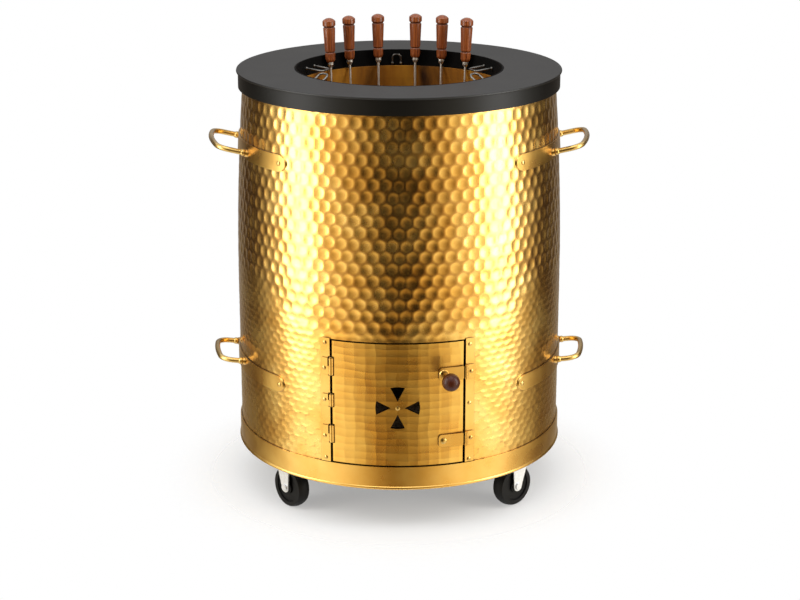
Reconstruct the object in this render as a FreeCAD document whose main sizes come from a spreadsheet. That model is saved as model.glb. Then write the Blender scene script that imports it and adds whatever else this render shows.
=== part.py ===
"""Floor-standing barrel tandoor on castors, as a FreeCAD macro. Millimetres, +Z up.

The origin is on the floor under the middle of the drum. The ash door faces -Y and +X is to its right.
Angles about the drum's axis are in degrees from the front (-Y), positive towards +X.
"""
import FreeCAD, Part
import os
import Sketcher

doc = FreeCAD.newDocument("barrel_tandoor")
sheet = doc.addObject("Spreadsheet::Sheet", "dims")
rows = iter(range(1, 400))
nodes = []


def size(alias, value, note=""):
    """One driving dimension: a row of the sheet with its alias, number and note."""
    row = next(rows)
    sheet.set(f"A{row}", alias)
    sheet.set(f"B{row}", str(value))
    sheet.set(f"C{row}", note)
    sheet.setAlias(f"B{row}", alias)
    return f"dims.{alias}"


# ---------------------------------------------------------------- driving dimensions

# drum
barrel_r = size("barrel_r", 305, "outside of the drum below its shoulder")
crown_r = size("crown_r", 287, "outside of the drum where it meets the top plate")
shoulder_z = size("shoulder_z", 380, "height where the drum starts to curve in")
shell_t = size("shell_t", 1.5, "drum sheet")
shell_foot_z = size("shell_foot_z", 86, "lower edge of the drum sheet, hidden by the hoop")
fit_gap = size("fit_gap", 0.3, "gap between pieces that sit against each other")
touch_gap = size("touch_gap", 0.1, "gap under strips, straps and heads on the drum")

# lengths of the tools that cut holes
short_drill = size("short_drill", 20, "bolt and pivot holes in sheet")
rivet_drill = size("rivet_drill", 24, "rivet holes in the curved sheet")
screw_drill = size("screw_drill", 30, "screw holes beside the door")
long_drill = size("long_drill", 40, "kingpin holes and the openings of the draught vent")
axle_drill = size("axle_drill", 80, "axle holes in both legs of a fork")

# hoop round the foot
band_foot_z = size("band_foot_z", 82, "lower edge of the hoop")
band_h = size("band_h", 43.5, "height of the hoop")
band_t = size("band_t", 2.7, "hoop sheet")
bead_h = size("bead_h", 6, "height of the rolled lower edge")
bead_r = size("bead_r", 3.4, "roundness of the rolled lower edge")

# top
top_z = size("top_z", 795, "upper face of the top plate")
plate_r = size("plate_r", 300, "outside of the top plate")
plate_t = size("plate_t", 4, "top plate")
plate_edge = size("plate_edge", 1, "depth of the rounded rim of the plate")
mouth_r = size("mouth_r", 192.5, "mouth in the top plate")
skirt_r = size("skirt_r", 297, "outside of the skirt")
skirt_t = size("skirt_t", 2, "skirt sheet")
skirt_h = size("skirt_h", 28, "height of the skirt")
skirt_lip = size("skirt_lip", 9, "flange that joins the skirt to the plate")
collar_t = size("collar_t", 2.2, "collar sheet")
collar_h = size("collar_h", 31, "collar from the plate's top to its lower edge")
collar_flange = size("collar_flange", 18, "flange of the collar on the pot's rim")

# floor, hearth and pot
floor_z = size("floor_z", 98, "underside of the base plate")
floor_t = size("floor_t", 3, "base plate")
slab_t = size("slab_t", 30, "hearth slab")
slab_overhang = size("slab_overhang", 4, "slab beyond the pot's foot")
pot_foot_r = size("pot_foot_r", 212, "outside of the pot's foot")
pot_neck_r = size("pot_neck_r", 208, "outside of the pot's neck")
pot_bulge_r = size("pot_bulge_r", 1405, "curve of the pot's outside from foot to neck")
pot_mouth_r = size("pot_mouth_r", 184, "inside of the pot's neck")
pot_cavity_r = size("pot_cavity_r", 203, "inside of the pot just above the grate")
pot_hearth_r = size("pot_hearth_r", 187, "inside of the pot under the grate")
pot_inner_r = size("pot_inner_r", 1379, "curve of the pot's inside from grate to neck")
grate_z = size("grate_z", 262, "ledge that carries the grate")
grate_t = size("grate_t", 10, "grate")
grate_gap = size("grate_gap", 2, "gap round the grate")
slot_count = size("slot_count", 20, "slots in the grate")
slot_w = size("slot_w", 11, "width of a slot")
slot_inner_r = size("slot_inner_r", 46, "inner ends of the slots")
slot_outer_r = size("slot_outer_r", 136, "outer ends of the slots")

# ash tunnel
tunnel_w = size("tunnel_w", 150, "inside width of the ash tunnel")
tunnel_h = size("tunnel_h", 120, "inside height of the ash tunnel")
tunnel_t = size("tunnel_t", 1.5, "tunnel sheet")
tunnel_end = size("tunnel_end", 188, "inner end of the tunnel from the drum's axis")
recess_depth = size("recess_depth", 12, "drum's outside to the face of the recess behind the door")
recess_margin = size("recess_margin", 10, "recess beyond the door opening, on every side")

# door
door_turn = size("door_turn", -0.45, "middle of the door, in degrees round the drum")
door_half = size("door_half", 22.4, "half the door's width, in degrees round the drum")
door_head_z = size("door_head_z", 357, "top edge of the door")
door_gap = size("door_gap", 2.4, "gap at the door's top and bottom")
side_gap = size("side_gap", 0.8, "gap at the door's sides, in degrees round the drum")
door_t = size("door_t", 2, "door sheet")
door_proud = size("door_proud", 1, "door's face beyond the drum's")
vent_z = size("vent_z", 238, "centre of the vent")
vent_outer_r = size("vent_outer_r", 40, "outer ends of the vent's openings")
vent_tip_r = size("vent_tip_r", 12.5, "inner tips of the vent's openings")
vent_rim_r = size("vent_rim_r", 44, "curve of the outer ends of the openings")
vent_open_w = size("vent_open_w", 26, "width of the vent's openings at their outer ends")
damper_r = size("damper_r", 46, "damper disc")
damper_t = size("damper_t", 1.5, "damper sheet")
damper_in = size("damper_in", 5.1, "drum's outside to the outer face of the damper")
pivot_r = size("pivot_r", 3, "shanks of the vent and latch rivets")
pivot_head_r = size("pivot_head_r", 5.5, "heads of the vent and latch rivets")
pivot_head_t = size("pivot_head_t", 2, "height of those heads")
vent_head_r = size("vent_head_r", 4, "outer head of the vent rivet")
run_gap = size("run_gap", 0.05, "radial gap of a turning fit")
face_gap = size("face_gap", 0.3, "gap between faces that turn on each other")

# jamb strips beside the door
strip_t = size("strip_t", 2, "jamb strips")
hinge_strip_w = size("hinge_strip_w", 18.5, "strip on the hinge side")
latch_strip_w = size("latch_strip_w", 17, "strip on the latch side")
strip_rise = size("strip_rise", 4, "strips above the door's top edge")
strip_corner = size("strip_corner", 6, "roundness of the strips' outer upper corners")
strip_foot = size("strip_foot", 1, "strips above the hoop")

# hinges
knuckle_r = size("knuckle_r", 4.5, "hinge knuckles")
knuckle_out = size("knuckle_out", 1.5, "hinge axis beyond the drum's outside")
hinge_pin_r = size("hinge_pin_r", 2, "hinge pins")
pin_head_r = size("pin_head_r", 3.2, "heads of the hinge pins")
pin_head_t = size("pin_head_t", 1.2, "height of those heads")
leaf_t = size("leaf_t", 1.8, "hinge leaves")
leaf_w = size("leaf_w", 17, "leaves on the strip, from the hinge axis")
door_leaf_w = size("door_leaf_w", 19, "leaves behind the door, from the hinge axis")
notch_gap = size("notch_gap", 1.2, "gap round a knuckle")
upper_hinge_z = size("upper_hinge_z", 309, "centre of the upper hinge")
middle_hinge_z = size("middle_hinge_z", 245, "centre of the middle hinge")
lower_hinge_z = size("lower_hinge_z", 181, "centre of the lower hinge")
hinge_h = size("hinge_h", 31, "height of the upper and lower hinges")
middle_hinge_h = size("middle_hinge_h", 22, "height of the middle hinge")

# latches
latch_angle = size("latch_angle", 15.4, "latch pivots, in degrees from the middle of the door")
upper_latch_z = size("upper_latch_z", 299.5, "upper latch")
lower_latch_z = size("lower_latch_z", 173, "lower latch")
bar_h = size("bar_h", 23, "height of a latch bar")
bar_t = size("bar_t", 2.5, "latch bars")
bar_tail = size("bar_tail", 9, "latch bar from its pivot to its left end")
bar_reach = size("bar_reach", 37, "latch bar from its pivot to its right end")
bar_corner = size("bar_corner", 6, "roundness of a latch bar's left corners")
bar_gap = size("bar_gap", 0.5, "gap between a latch bar and the door, at the pivot")
keeper_h = size("keeper_h", 26, "height of a keeper")
keeper_t = size("keeper_t", 2, "keeper plates")
keeper_corner = size("keeper_corner", 4, "roundness of a keeper's corners")
nose_r = size("nose_r", 3, "rolled nose of a keeper")
nose_over = size("nose_over", 2.6, "nose beyond the edge of its strip, towards the door")
spindle_r = size("spindle_r", 4, "spindle of the upper latch")
rosette_r = size("rosette_r", 8.5, "rosette of the spindle on the latch bar")
rosette_t = size("rosette_t", 1.6, "height of the rosette")
neck_r = size("neck_r", 4.6, "spindle between rosette and knob")
nut_r = size("nut_r", 7, "nut behind the door")
nut_t = size("nut_t", 3, "height of that nut")
knob_out = size("knob_out", 48, "centre of the knob beyond the drum's outside")
knob_r = size("knob_r", 16, "wooden ball knob")
knob_seat_r = size("knob_seat_r", 6.5, "flat of the knob round its spindle")
knob_bore = size("knob_bore", 14, "depth of the bore in the knob")

# small fasteners
screw_head_r = size("screw_head_r", 3.6, "screw heads")
screw_head_t = size("screw_head_t", 1.5, "height of the screw heads")
screw_r = size("screw_r", 1.9, "screw shanks")
rivet_head_r = size("rivet_head_r", 4.2, "heads of the handle rivets")
rivet_head_t = size("rivet_head_t", 2, "height of those heads")
rivet_r = size("rivet_r", 2.4, "shanks of the handle rivets")

# lifting handles
upper_handle_z = size("upper_handle_z", 661.5, "middle of the upper straps")
lower_handle_z = size("lower_handle_z", 251, "middle of the lower straps")
strap_h = size("strap_h", 30, "height of a handle strap")
strap_t = size("strap_t", 3, "handle straps")
handle_turn = size("handle_turn", 8, "handles set towards the front, in degrees from the sides")
handle_skew = size("handle_skew", 0.9, "handles set round the drum, in degrees")
strap_half = size("strap_half", 189, "reach of a strap each way from its middle")
end_rivet = size("end_rivet", 36.1, "rivets of a strap, in degrees from its middle")
upper_span = size("upper_span", 154, "distance between the arms of an upper loop")
lower_span = size("lower_span", 120, "distance between the arms of a lower loop")
upper_loop_z = size("upper_loop_z", 659, "roots of the upper loops")
lower_loop_z = size("lower_loop_z", 257.5, "roots of the lower loops")
upper_tilt = size("upper_tilt", 14, "rise of an upper loop, in degrees")
lower_tilt = size("lower_tilt", 8, "rise of a lower loop, in degrees")
rod_r = size("rod_r", 4.9, "rod of the handle loops")
loop_out = size("loop_out", 353.5, "outermost line of the loops from the drum's axis")
loop_corner = size("loop_corner", 23.5, "bends between a loop's arms and its grip")
loop_bow = size("loop_bow", 300, "bow of a loop's grip")
lug_r = size("lug_r", 7, "lugs on a strap")
lug_out = size("lug_out", 4, "lugs beyond the strap")
root_ball_r = size("root_ball_r", 6.4, "swelling of a loop's rod in front of its lug")
root_ball_out = size("root_ball_out", 3.5, "centre of that swelling beyond the lug")

# wire loops in the mouth
wire_r = size("wire_r", 1.8, "wire of the loops")
wire_corner = size("wire_corner", 7.5, "bends of the wire loops")
wire_eye_r = size("wire_eye_r", 3, "rounded roots of the wire loops")
back_wire_angle = size("back_wire_angle", 181.5, "place of the loop at the back, in degrees")
side_wire_angle = size("side_wire_angle", 117, "place of the loops at the sides, in degrees")
front_wire_angle = size("front_wire_angle", 52, "place of the loops at the front, in degrees")
back_wire_w = size("back_wire_w", 16.5, "width of the loop at the back")
back_wire_l = size("back_wire_l", 18, "length of the loop at the back")
side_wire_w = size("side_wire_w", 30, "width of the loops at the sides")
side_wire_l = size("side_wire_l", 34, "length of the loops at the sides")
front_wire_w = size("front_wire_w", 24, "width of the loops at the front")
front_wire_l = size("front_wire_l", 24, "length of the loops at the front")
back_wire_root_z = size("back_wire_root_z", 769.5, "roots of the loop at the back")
side_wire_root_z = size("side_wire_root_z", 779, "roots of the side loops")
front_wire_root_z = size("front_wire_root_z", 787, "roots of the front loops")
back_wire_dip = size("back_wire_dip", -74, "fall of the loop at the back, which stands up")
side_wire_dip = size("side_wire_dip", 5, "fall of the side loops, in degrees")
front_wire_dip = size("front_wire_dip", -34, "fall of the front loops, which rise")

# castors
castor_x = size("castor_x", 191.5, "swivel axes from the middle, to the sides")
castor_y = size("castor_y", 197, "swivel axes from the middle, to front and back")
castor_skew = size("castor_skew", 1.3, "castors set round the drum, in degrees")
left_castor_turn = size("left_castor_turn", 49, "trail of the left castors, in degrees from sideways")
right_castor_turn = size("right_castor_turn", 41, "trail of the right castors, in degrees from sideways")
castor_trail = size("castor_trail", 20, "axle behind the swivel axis")
wheel_r = size("wheel_r", 40, "wheel")
wheel_w = size("wheel_w", 26, "width of a wheel")
hub_r = size("hub_r", 13, "hub of a wheel")
web_r = size("web_r", 28, "inner edge of the tyre's side")
web_in = size("web_in", 4, "depth of the wheel's sides between hub and tyre")
tyre_side = size("tyre_side", 1, "tyre's sides behind the hub's faces")
tread_r = size("tread_r", 24, "crown of the tread across the wheel")
axle_r = size("axle_r", 5, "axle")
axle_head_r = size("axle_head_r", 6.6, "axle's head and nut")
axle_head_t = size("axle_head_t", 2.6, "height of the axle's head and nut")
leg_gap = size("leg_gap", 1.5, "wheel to fork leg")
leg_t = size("leg_t", 2.5, "fork legs and crown")
leg_end_r = size("leg_end_r", 9.5, "rounded end of a fork leg")
leg_flare = size("leg_flare", 12, "leg wider behind the axle, under the crown")
gusset = size("gusset", 7, "height of the slope between a leg and its crown")
crown_z = size("crown_z", 84, "underside of a fork's crown")
crown_half = size("crown_half", 21, "crown to each side of the swivel axis, clear of the hoop as it turns")
crown_drop = size("crown_drop", 2, "crown's underside to the highest point of the flare's slope")
race_r = size("race_r", 21, "lower race, on the crown")
race_t = size("race_t", 3.2, "height of the lower race")
upper_race_r = size("upper_race_r", 23.5, "upper race, under the mounting plate")
kingpin_r = size("kingpin_r", 6, "kingpin")
kingpin_head_r = size("kingpin_head_r", 9, "head of the kingpin")
kingpin_head_t = size("kingpin_head_t", 3.5, "height of that head")
mount_l = size("mount_l", 66, "length of a castor's mounting plate")
mount_w = size("mount_w", 48, "width of a castor's mounting plate")
mount_t = size("mount_t", 3, "castors' mounting plates")
bolt_l = size("bolt_l", 50, "castor bolts apart, along the plate")
bolt_w = size("bolt_w", 32, "castor bolts apart, across the plate")
bolt_r = size("bolt_r", 3, "castor bolts")
bolt_head_r = size("bolt_head_r", 5, "heads of the castor bolts")
bolt_head_t = size("bolt_head_t", 4, "height of those heads")

# skewers
skewer_lean = size("skewer_lean", 2.2, "lean of the skewers, in degrees")
skewer_r = size("skewer_r", 2.4, "rod of a skewer")
skewer_point = size("skewer_point", 16, "pointed end of a skewer")
ferrule_r = size("ferrule_r", 6, "ferrule under the handle")
ferrule_foot_r = size("ferrule_foot_r", 4, "foot of the ferrule")
ferrule_h = size("ferrule_h", 9, "height of the ferrule")
handle_drop = size("handle_drop", 13, "foot of the handle under the plate's top")
handle_l = size("handle_l", 84, "skewer handle")
handle_foot_r = size("handle_foot_r", 6.4, "foot of the handle")
foot_rise = size("foot_rise", 7, "height of the handle's rounded foot")
foot_round = size("foot_round", 9, "roundness of that foot")
handle_ring_r = size("handle_ring_r", 9.9, "handle at its lower ring, where it leans on the collar")
handle_waist_r = size("handle_waist_r", 9.7, "waist of the handle above its lower ring")
handle_top_r = size("handle_top_r", 11.5, "handle under its upper ring")
handle_cap_r = size("handle_cap_r", 12.3, "rounded end of the handle")
cap_rise = size("cap_rise", 6, "height of that rounded end")
lower_ring = size("lower_ring", 19, "lower turned groove above the foot")
upper_ring = size("upper_ring", 67, "upper turned groove above the foot")
groove_w = size("groove_w", 4, "width of a turned groove")
groove_in = size("groove_in", 1.8, "depth of a turned groove")
ring_groove = size("ring_groove", 0.4, "handle finer above its rounded foot than at its lower ring")
tang_l = size("tang_l", 55, "rod inside the handle")

SKEWERS = {"first": -47, "second": -32, "third": -13, "fourth": 10, "fifth": 27, "sixth": 45}
for which, turn_from_back in SKEWERS.items():
    size(f"{which}_skewer", turn_from_back, "place round the back of the mouth, in degrees")

doc.recompute()

# ---------------------------------------------------------------- sizes that follow

# the drum's upper curve is one arc, tangent to the straight part at the shoulder
under_plate_z = f"({top_z} - {plate_t})"
curve_h = f"({under_plate_z} - {shoulder_z})"
curve_in = f"({barrel_r} - {crown_r})"
curve_r = f"(({curve_h}^2 + {curve_in}^2) / (2 * {curve_in}))"


def wall_r(height, inward="0"):
    """Radius of the drum at a height above its shoulder, or of a surface that far inside it."""
    up = f"(({height}) - {shoulder_z})"
    return f"({barrel_r} - {curve_r} + sqrt(({curve_r} - ({inward}))^2 - {up}^2))"




def degrees(angle):
    """An inverse function of trigonometry as a plain number of degrees."""
    return f"({angle} / 1 deg)"


def dome(radius, rise):
    """Radius of the ball that a round head of that radius and rise is cut from."""
    return f"((({radius})^2 + ({rise})^2) / (2 * ({rise})))"


inside = f"({shell_t} + {fit_gap})"
shell_inner_r = f"({barrel_r} - {shell_t})"
band_inner_r = f"({barrel_r} + {fit_gap})"
band_top_z = f"({band_foot_z} + {band_h})"
floor_top_z = f"({floor_z} + {floor_t})"
slab_top_z = f"({floor_top_z} + {slab_t})"
slab_r = f"({pot_foot_r} + {slab_overhang})"
pot_top_z = f"({top_z} - {collar_h})"
collar_outer_r = f"({mouth_r} - {fit_gap})"
collar_inner_r = f"({collar_outer_r} - {collar_t})"
grate_top_z = f"({grate_z} + {grate_t})"

door_foot_z = f"({band_top_z} + {door_gap})"
door_outer_r = f"({barrel_r} + {door_proud})"
door_inner_r = f"({door_outer_r} - {door_t})"
opening_half = f"({door_half} + {side_gap})"
opening_head_z = f"({door_head_z} + {door_gap})"
recess_r = f"({barrel_r} - {recess_depth})"
recess_half = f"({opening_half} + {recess_margin} / {barrel_r} * 180 / pi)"
recess_foot_z = f"({band_top_z} - {recess_margin})"
recess_head_z = f"({opening_head_z} + {recess_margin})"

strip_foot_z = f"({band_top_z} + {strip_foot})"
strip_head_z = f"({door_head_z} + {strip_rise})"
strip_z = f"(({strip_foot_z} + {strip_head_z}) / 2)"
strip_seat_r = f"({barrel_r} + {touch_gap})"
hinge_strip_angle = f"({door_turn} - {opening_half} - {degrees(f'atan({hinge_strip_w} / 2 / {barrel_r})')})"
latch_strip_angle = f"({door_turn} + {opening_half} + {degrees(f'atan({latch_strip_w} / 2 / {barrel_r})')})"
hinge_angle = f"({door_turn} - {door_half} - {side_gap} / 2)"
hinge_r = f"({barrel_r} + {knuckle_out})"

bar_seat = f"({door_proud} + {bar_gap})"
bar_face = f"({bar_seat} + {bar_t})"
knob_seat = f"({knob_out} - sqrt({knob_r}^2 - {knob_seat_r}^2))"

mount_z = f"({floor_z} - {mount_t})"
leg_in = f"({wheel_w} / 2 + {leg_gap})"
leg_out = f"({leg_in} + {leg_t})"
crown_top_z = f"({crown_z} + {leg_t})"
race_top_z = f"({crown_top_z} + {race_t})"

HINGES = {
    "upper": (upper_hinge_z, hinge_h),
    "middle": (middle_hinge_z, middle_hinge_h),
    "lower": (lower_hinge_z, hinge_h),
}
HANDLES = {
    "upper": (upper_handle_z, upper_span, upper_loop_z, upper_tilt, True),
    "lower": (lower_handle_z, lower_span, lower_loop_z, lower_tilt, False),
}
SIDES = {"left": f"(180 + {handle_turn} + {handle_skew})", "right": f"({handle_skew} - {handle_turn})"}


# ---------------------------------------------------------------- small helpers

def node(name, finished):
    """Names a finished sub-part, which is written to its own file."""
    finished.Label = name
    nodes.append(finished)
    return finished


def bind(feature, **properties):
    """Ties properties of a feature to expressions."""
    for prop, expression in properties.items():
        feature.setExpression(prop, expression)
    return feature


def at(x="0", y="0", z="0", turn="rotationz(0)"):
    """A placement: a point, and turns such as rotationz(...) * rotationx(...)."""
    return f"placement(vector({x}; {y}; {z}); {turn})"


def round_drum(angle, radius, height, rise="0"):
    """A placement on the drum: local X runs round it, local Y up, and local Z outwards.

    With a rise, local Z also points that many degrees upwards.
    """
    turn = f"rotationz({angle}) * rotationx(90 - ({rise}))"
    return at(f"({radius}) * sin({angle})", f"-({radius}) * cos({angle})", height, turn)


def cylinder(name, radius, height, place=None, sweep=None):
    rod = bind(doc.addObject("Part::Cylinder", name), Radius=radius, Height=height)
    if sweep:
        bind(rod, Angle=sweep)
    if place:
        bind(rod, Placement=place)
    return rod


def box(name, length, width, height, place):
    """A box centred on its place in X and Y, and standing on it in Z."""
    middle = at(f"-({length}) / 2", f"-({width}) / 2")
    block = doc.addObject("Part::Box", name)
    return bind(block, Length=length, Width=width, Height=height, Placement=f"{place} * {middle}")


def ball(name, radius, place, lowest="-90"):
    """A ball, or the part of it above a latitude in degrees."""
    return bind(doc.addObject("Part::Sphere", name), Radius=radius, Angle1=lowest, Placement=place)


def cut(name, base, tool):
    result = doc.addObject("Part::Cut", name)
    result.Base = base
    result.Tool = tool
    return result


def common(name, base, tool):
    result = doc.addObject("Part::Common", name)
    result.Base = base
    result.Tool = tool
    return result


def fuse(name, shapes):
    result = doc.addObject("Part::MultiFuse", name)
    result.Shapes = shapes
    result.Refine = True
    return result


def group(name, shapes):
    """Separate solids that go together."""
    result = doc.addObject("Part::Compound", name)
    result.Links = shapes
    return result


def drilled(name, base, holes):
    """A piece with round holes, each given as a radius, a length and the placement of its middle."""
    drills = [
        cylinder(f"{name}_drill", radius, length, f"{place} * {at(z=f'-({length}) / 2')}")
        for radius, length, place in holes
    ]
    return cut(name, base, group(f"{name}_drills", drills))


def new_sketch(body, name, plane):
    sketch = body.newObject("Sketcher::SketchObject", name)
    origin_plane = next(part for part in body.Origin.OriginFeatures if part.Role == plane)
    sketch.AttachmentSupport = [(origin_plane, "")]
    sketch.MapMode = "FlatFace"
    sketch.Visibility = False
    return sketch


def constrain(sketch, tag, expression, kind, *where):
    """A driving constraint with a name and an expression."""
    value = float(sketch.evalExpression(expression))
    index = sketch.addConstraint(Sketcher.Constraint(kind, *where, value))
    sketch.renameConstraint(index, tag)
    sketch.setExpression(f"Constraints.{tag}", expression)


def pin_down(sketch, edge, end, corner, tag):
    """Holds a point of an edge at a corner, which is a pair of expressions."""
    constrain(sketch, f"x_{tag}", corner[0], "DistanceX", -1, 1, edge, end)
    constrain(sketch, f"y_{tag}", corner[1], "DistanceY", -1, 1, edge, end)


def draw(sketch, corners, arcs=None, closed=True):
    """Draws edges through corners, each a pair of expressions.

    arcs maps the number of an edge's first corner to the radius of that edge. Seen along the edge it
    bulges to the right, or to the left where the radius has a leading minus.
    """
    arcs = arcs or {}
    points = [FreeCAD.Vector(*[float(sketch.evalExpression(e)) for e in corner], 0) for corner in corners]
    count = len(points) if closed else len(points) - 1
    first_end, last_end = [], []
    for i in range(count):
        start, end = points[i], points[(i + 1) % len(points)]
        if i not in arcs:
            sketch.addGeometry(Part.LineSegment(start, end))
            first_end.append(1)
            last_end.append(2)
            continue
        radius = float(sketch.evalExpression(arcs[i].lstrip("-")))
        chord = end - start
        rise = radius - max(0.0, radius**2 - (chord.Length / 2) ** 2) ** 0.5
        right = FreeCAD.Vector(chord.y, -chord.x, 0).normalize()
        middle = (start + end) / 2 + right * (-rise if arcs[i].startswith("-") else rise)
        sketch.addGeometry(Part.Arc(start, middle, end))
        forward = (sketch.getPoint(i, 1) - start).Length < (sketch.getPoint(i, 1) - end).Length
        first_end.append(1 if forward else 2)
        last_end.append(2 if forward else 1)
    for i in range(count if closed else count - 1):
        j = (i + 1) % count
        sketch.addConstraint(Sketcher.Constraint("Coincident", i, last_end[i], j, first_end[j]))
    for i in range(count):
        pin_down(sketch, i, first_end[i], corners[i], i)
    if not closed:
        pin_down(sketch, count - 1, last_end[-1], corners[-1], count)
    for i, radius in arcs.items():
        constrain(sketch, f"bend_{i}", radius.lstrip("-"), "Radius", i)
    return sketch


def turned(name, corners, arcs=None, place=None):
    """A body turned about its own Z axis, from an outline of (radius, height) corners."""
    body = doc.addObject("PartDesign::Body", name)
    sketch = draw(new_sketch(body, f"{name}_profile", "XZ_Plane"), corners, arcs)
    turn = body.newObject("PartDesign::Revolution", f"{name}_turn")
    turn.Profile = sketch
    turn.ReferenceAxis = (sketch, ["V_Axis"])
    turn.Angle = 360
    if place:
        bind(body, Placement=place)
    return body


def padded(name, corners, thickness, place=None, arcs=None, plane="XY_Plane"):
    """A body of even thickness that stands on its outline."""
    body = doc.addObject("PartDesign::Body", name)
    sketch = draw(new_sketch(body, f"{name}_outline", plane), corners, arcs)
    pad = body.newObject("PartDesign::Pad", f"{name}_pad")
    pad.Profile = sketch
    bind(pad, Length=thickness)
    if place:
        bind(body, Placement=place)
    return body


def bent_rod(name, corners, radius, place, arcs):
    """A body of round rod along an open line in its own XY plane, which starts along +X."""
    body = doc.addObject("PartDesign::Body", name)
    path = draw(new_sketch(body, f"{name}_path", "XY_Plane"), corners, arcs, closed=False)
    section = new_sketch(body, f"{name}_section", "YZ_Plane")
    centre = FreeCAD.Vector(float(section.evalExpression(corners[0][1])), 0, 0)
    circle = Part.Circle(centre, FreeCAD.Vector(0, 0, 1), float(section.evalExpression(radius)))
    section.addGeometry(circle)
    constrain(section, "rod", radius, "Radius", 0)
    pin_down(section, 0, 3, (corners[0][1], "0"), "centre")
    pipe = body.newObject("PartDesign::AdditivePipe", f"{name}_pipe")
    pipe.Profile = section
    pipe.Spine = (path, [f"Edge{i + 1}" for i in range(path.GeometryCount)])
    bind(body, Placement=place)
    return body


def rectangle(low_x, high_x, low_y, high_y):
    return [(low_x, low_y), (high_x, low_y), (high_x, high_y), (low_x, high_y)]


def front_ring(name, inner_r, outer_r, half, foot_z, head_z):
    """A piece of a ring about the door's middle, between two radii, two heights and so many degrees."""
    height = f"({head_z}) - ({foot_z})"
    place = at(z=foot_z, turn=f"rotationz({door_turn} - 90 - {half})")
    outer = cylinder(f"{name}_outer", outer_r, height, place, sweep=f"2 * {half}")
    return cut(name, outer, cylinder(f"{name}_inner", inner_r, height, at(z=foot_z)))


def headed(name, place, head_r, head_t, shank_r, shank_l):
    """A screw or rivet, with a domed head on its place and a shank down from it."""
    side = f"(({head_t}) * 0.3)"
    profile = [
        ("0", f"-({shank_l})"),
        (shank_r, f"-({shank_l})"),
        (shank_r, "0"),
        (head_r, "0"),
        (head_r, side),
        ("0", head_t),
    ]
    return turned(name, profile, {4: dome(head_r, f"{head_t} - {side}")}, place)


# ---------------------------------------------------------------- where the fasteners sit

def strap_wall(height, curved, outward="0"):
    """Radius of a surface that far outside the drum, at a handle's height."""
    return wall_r(height, f"-({outward})") if curved else f"({barrel_r} + {outward})"


def handle_rivets():
    """Placements of the handle rivets on the straps' faces."""
    places = []
    for height, _, _, _, curved in HANDLES.values():
        rise = degrees(f"asin(({height} - {shoulder_z}) / {curve_r})") if curved else "0"
        seat = strap_wall(height, curved, f"({strap_t} + 2 * {touch_gap})")
        for middle in SIDES.values():
            for turn in (f"-{end_rivet}", end_rivet):
                places.append(round_drum(f"(90 + {middle} + {turn})", seat, height, rise))
    return places


def strip_screws():
    """Placements of the small screws, with how far each head stands off its strip."""
    left_plain = (f"{strip_head_z} - 9", f"{strip_foot_z} + 7")
    left_leaf = (f"{upper_hinge_z} - 4", middle_hinge_z, f"{lower_hinge_z} - 5")
    right_plain = (f"{strip_head_z} - 11", f"({upper_latch_z} + {lower_latch_z}) / 2 + 3", f"{strip_foot_z} + 5")
    right_keeper = (upper_latch_z, lower_latch_z)
    spots = [(hinge_strip_angle, "0", z, "0") for z in left_plain]
    spots += [(hinge_strip_angle, "-1", z, leaf_t) for z in left_leaf]
    spots += [(latch_strip_angle, "-1", z, "0") for z in right_plain]
    spots += [(latch_strip_angle, "1.5", z, keeper_t) for z in right_keeper]
    return [
        (round_drum(angle, f"{strip_seat_r} + {strip_t} + {raised}", z) + f" * {at(x=x)}", raised)
        for angle, x, z, raised in spots
    ]


rivet_places = handle_rivets()
screw_places = strip_screws()
screw_holes = [(f"{screw_r} + {run_gap}", screw_drill, place) for place, _ in screw_places]
rivet_holes = [(f"{rivet_r} + {run_gap}", rivet_drill, place) for place in rivet_places]

# each castor: which way it lies from the middle, and which way it trails
CASTORS = {
    "front_left": ("-1", "-1", f"(180 - {left_castor_turn})"),
    "front_right": ("1", "-1", f"({right_castor_turn})"),
    "rear_left": ("-1", "1", f"({left_castor_turn} - 180)"),
    "rear_right": ("1", "1", f"(-{right_castor_turn})"),
}


def castor_axis(to_side, to_back, turn="0"):
    skew = f"rotationz({castor_skew})"
    return at(turn=skew) + " * " + at(
        f"{to_side} * {castor_x}", f"{to_back} * {castor_y}", turn=f"rotationz({turn} - {castor_skew})"
    )


def castor_mount(to_side, to_back):
    """Placement of a castor's mounting plate, whose length runs round the drum."""
    round_it = f"({degrees(f'atan({castor_y} / {castor_x})')} * ({to_side}) * ({to_back}))"
    return castor_axis(to_side, to_back, f"({round_it} + 90 + {castor_skew})")


def castor_bolts():
    """Placements of the castor bolts on the undersides of the mounting plates."""
    return [
        f"{castor_mount(to_side, to_back)} * {at(f'{i} * {bolt_l} / 2', f'{j} * {bolt_w} / 2', mount_z)}"
        for to_side, to_back, _ in CASTORS.values()
        for i in (-1, 1)
        for j in (-1, 1)
    ]


bolt_places = castor_bolts()


# ---------------------------------------------------------------- drum, hoop and top

def drum(knuckle_room):
    profile = [
        (shell_inner_r, shell_foot_z),
        (barrel_r, shell_foot_z),
        (barrel_r, shoulder_z),
        (wall_r(under_plate_z), under_plate_z),
        (wall_r(under_plate_z, shell_t), under_plate_z),
        (shell_inner_r, shoulder_z),
    ]
    wall = turned("drum_wall", profile, {2: curve_r, 4: f"-({curve_r} - {shell_t})"})
    opening = cylinder(
        "door_opening",
        f"{barrel_r} + {band_t}",
        f"{opening_head_z} - {band_top_z}",
        at(z=band_top_z, turn=f"rotationz({door_turn} - 90 - {opening_half})"),
        sweep=f"2 * {opening_half}",
    )
    open_wall = cut("drum_open", wall, group("drum_openings", [opening, knuckle_room]))
    node("outer_shell", drilled("drum_drilled", open_wall, screw_holes + rivet_holes))


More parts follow.
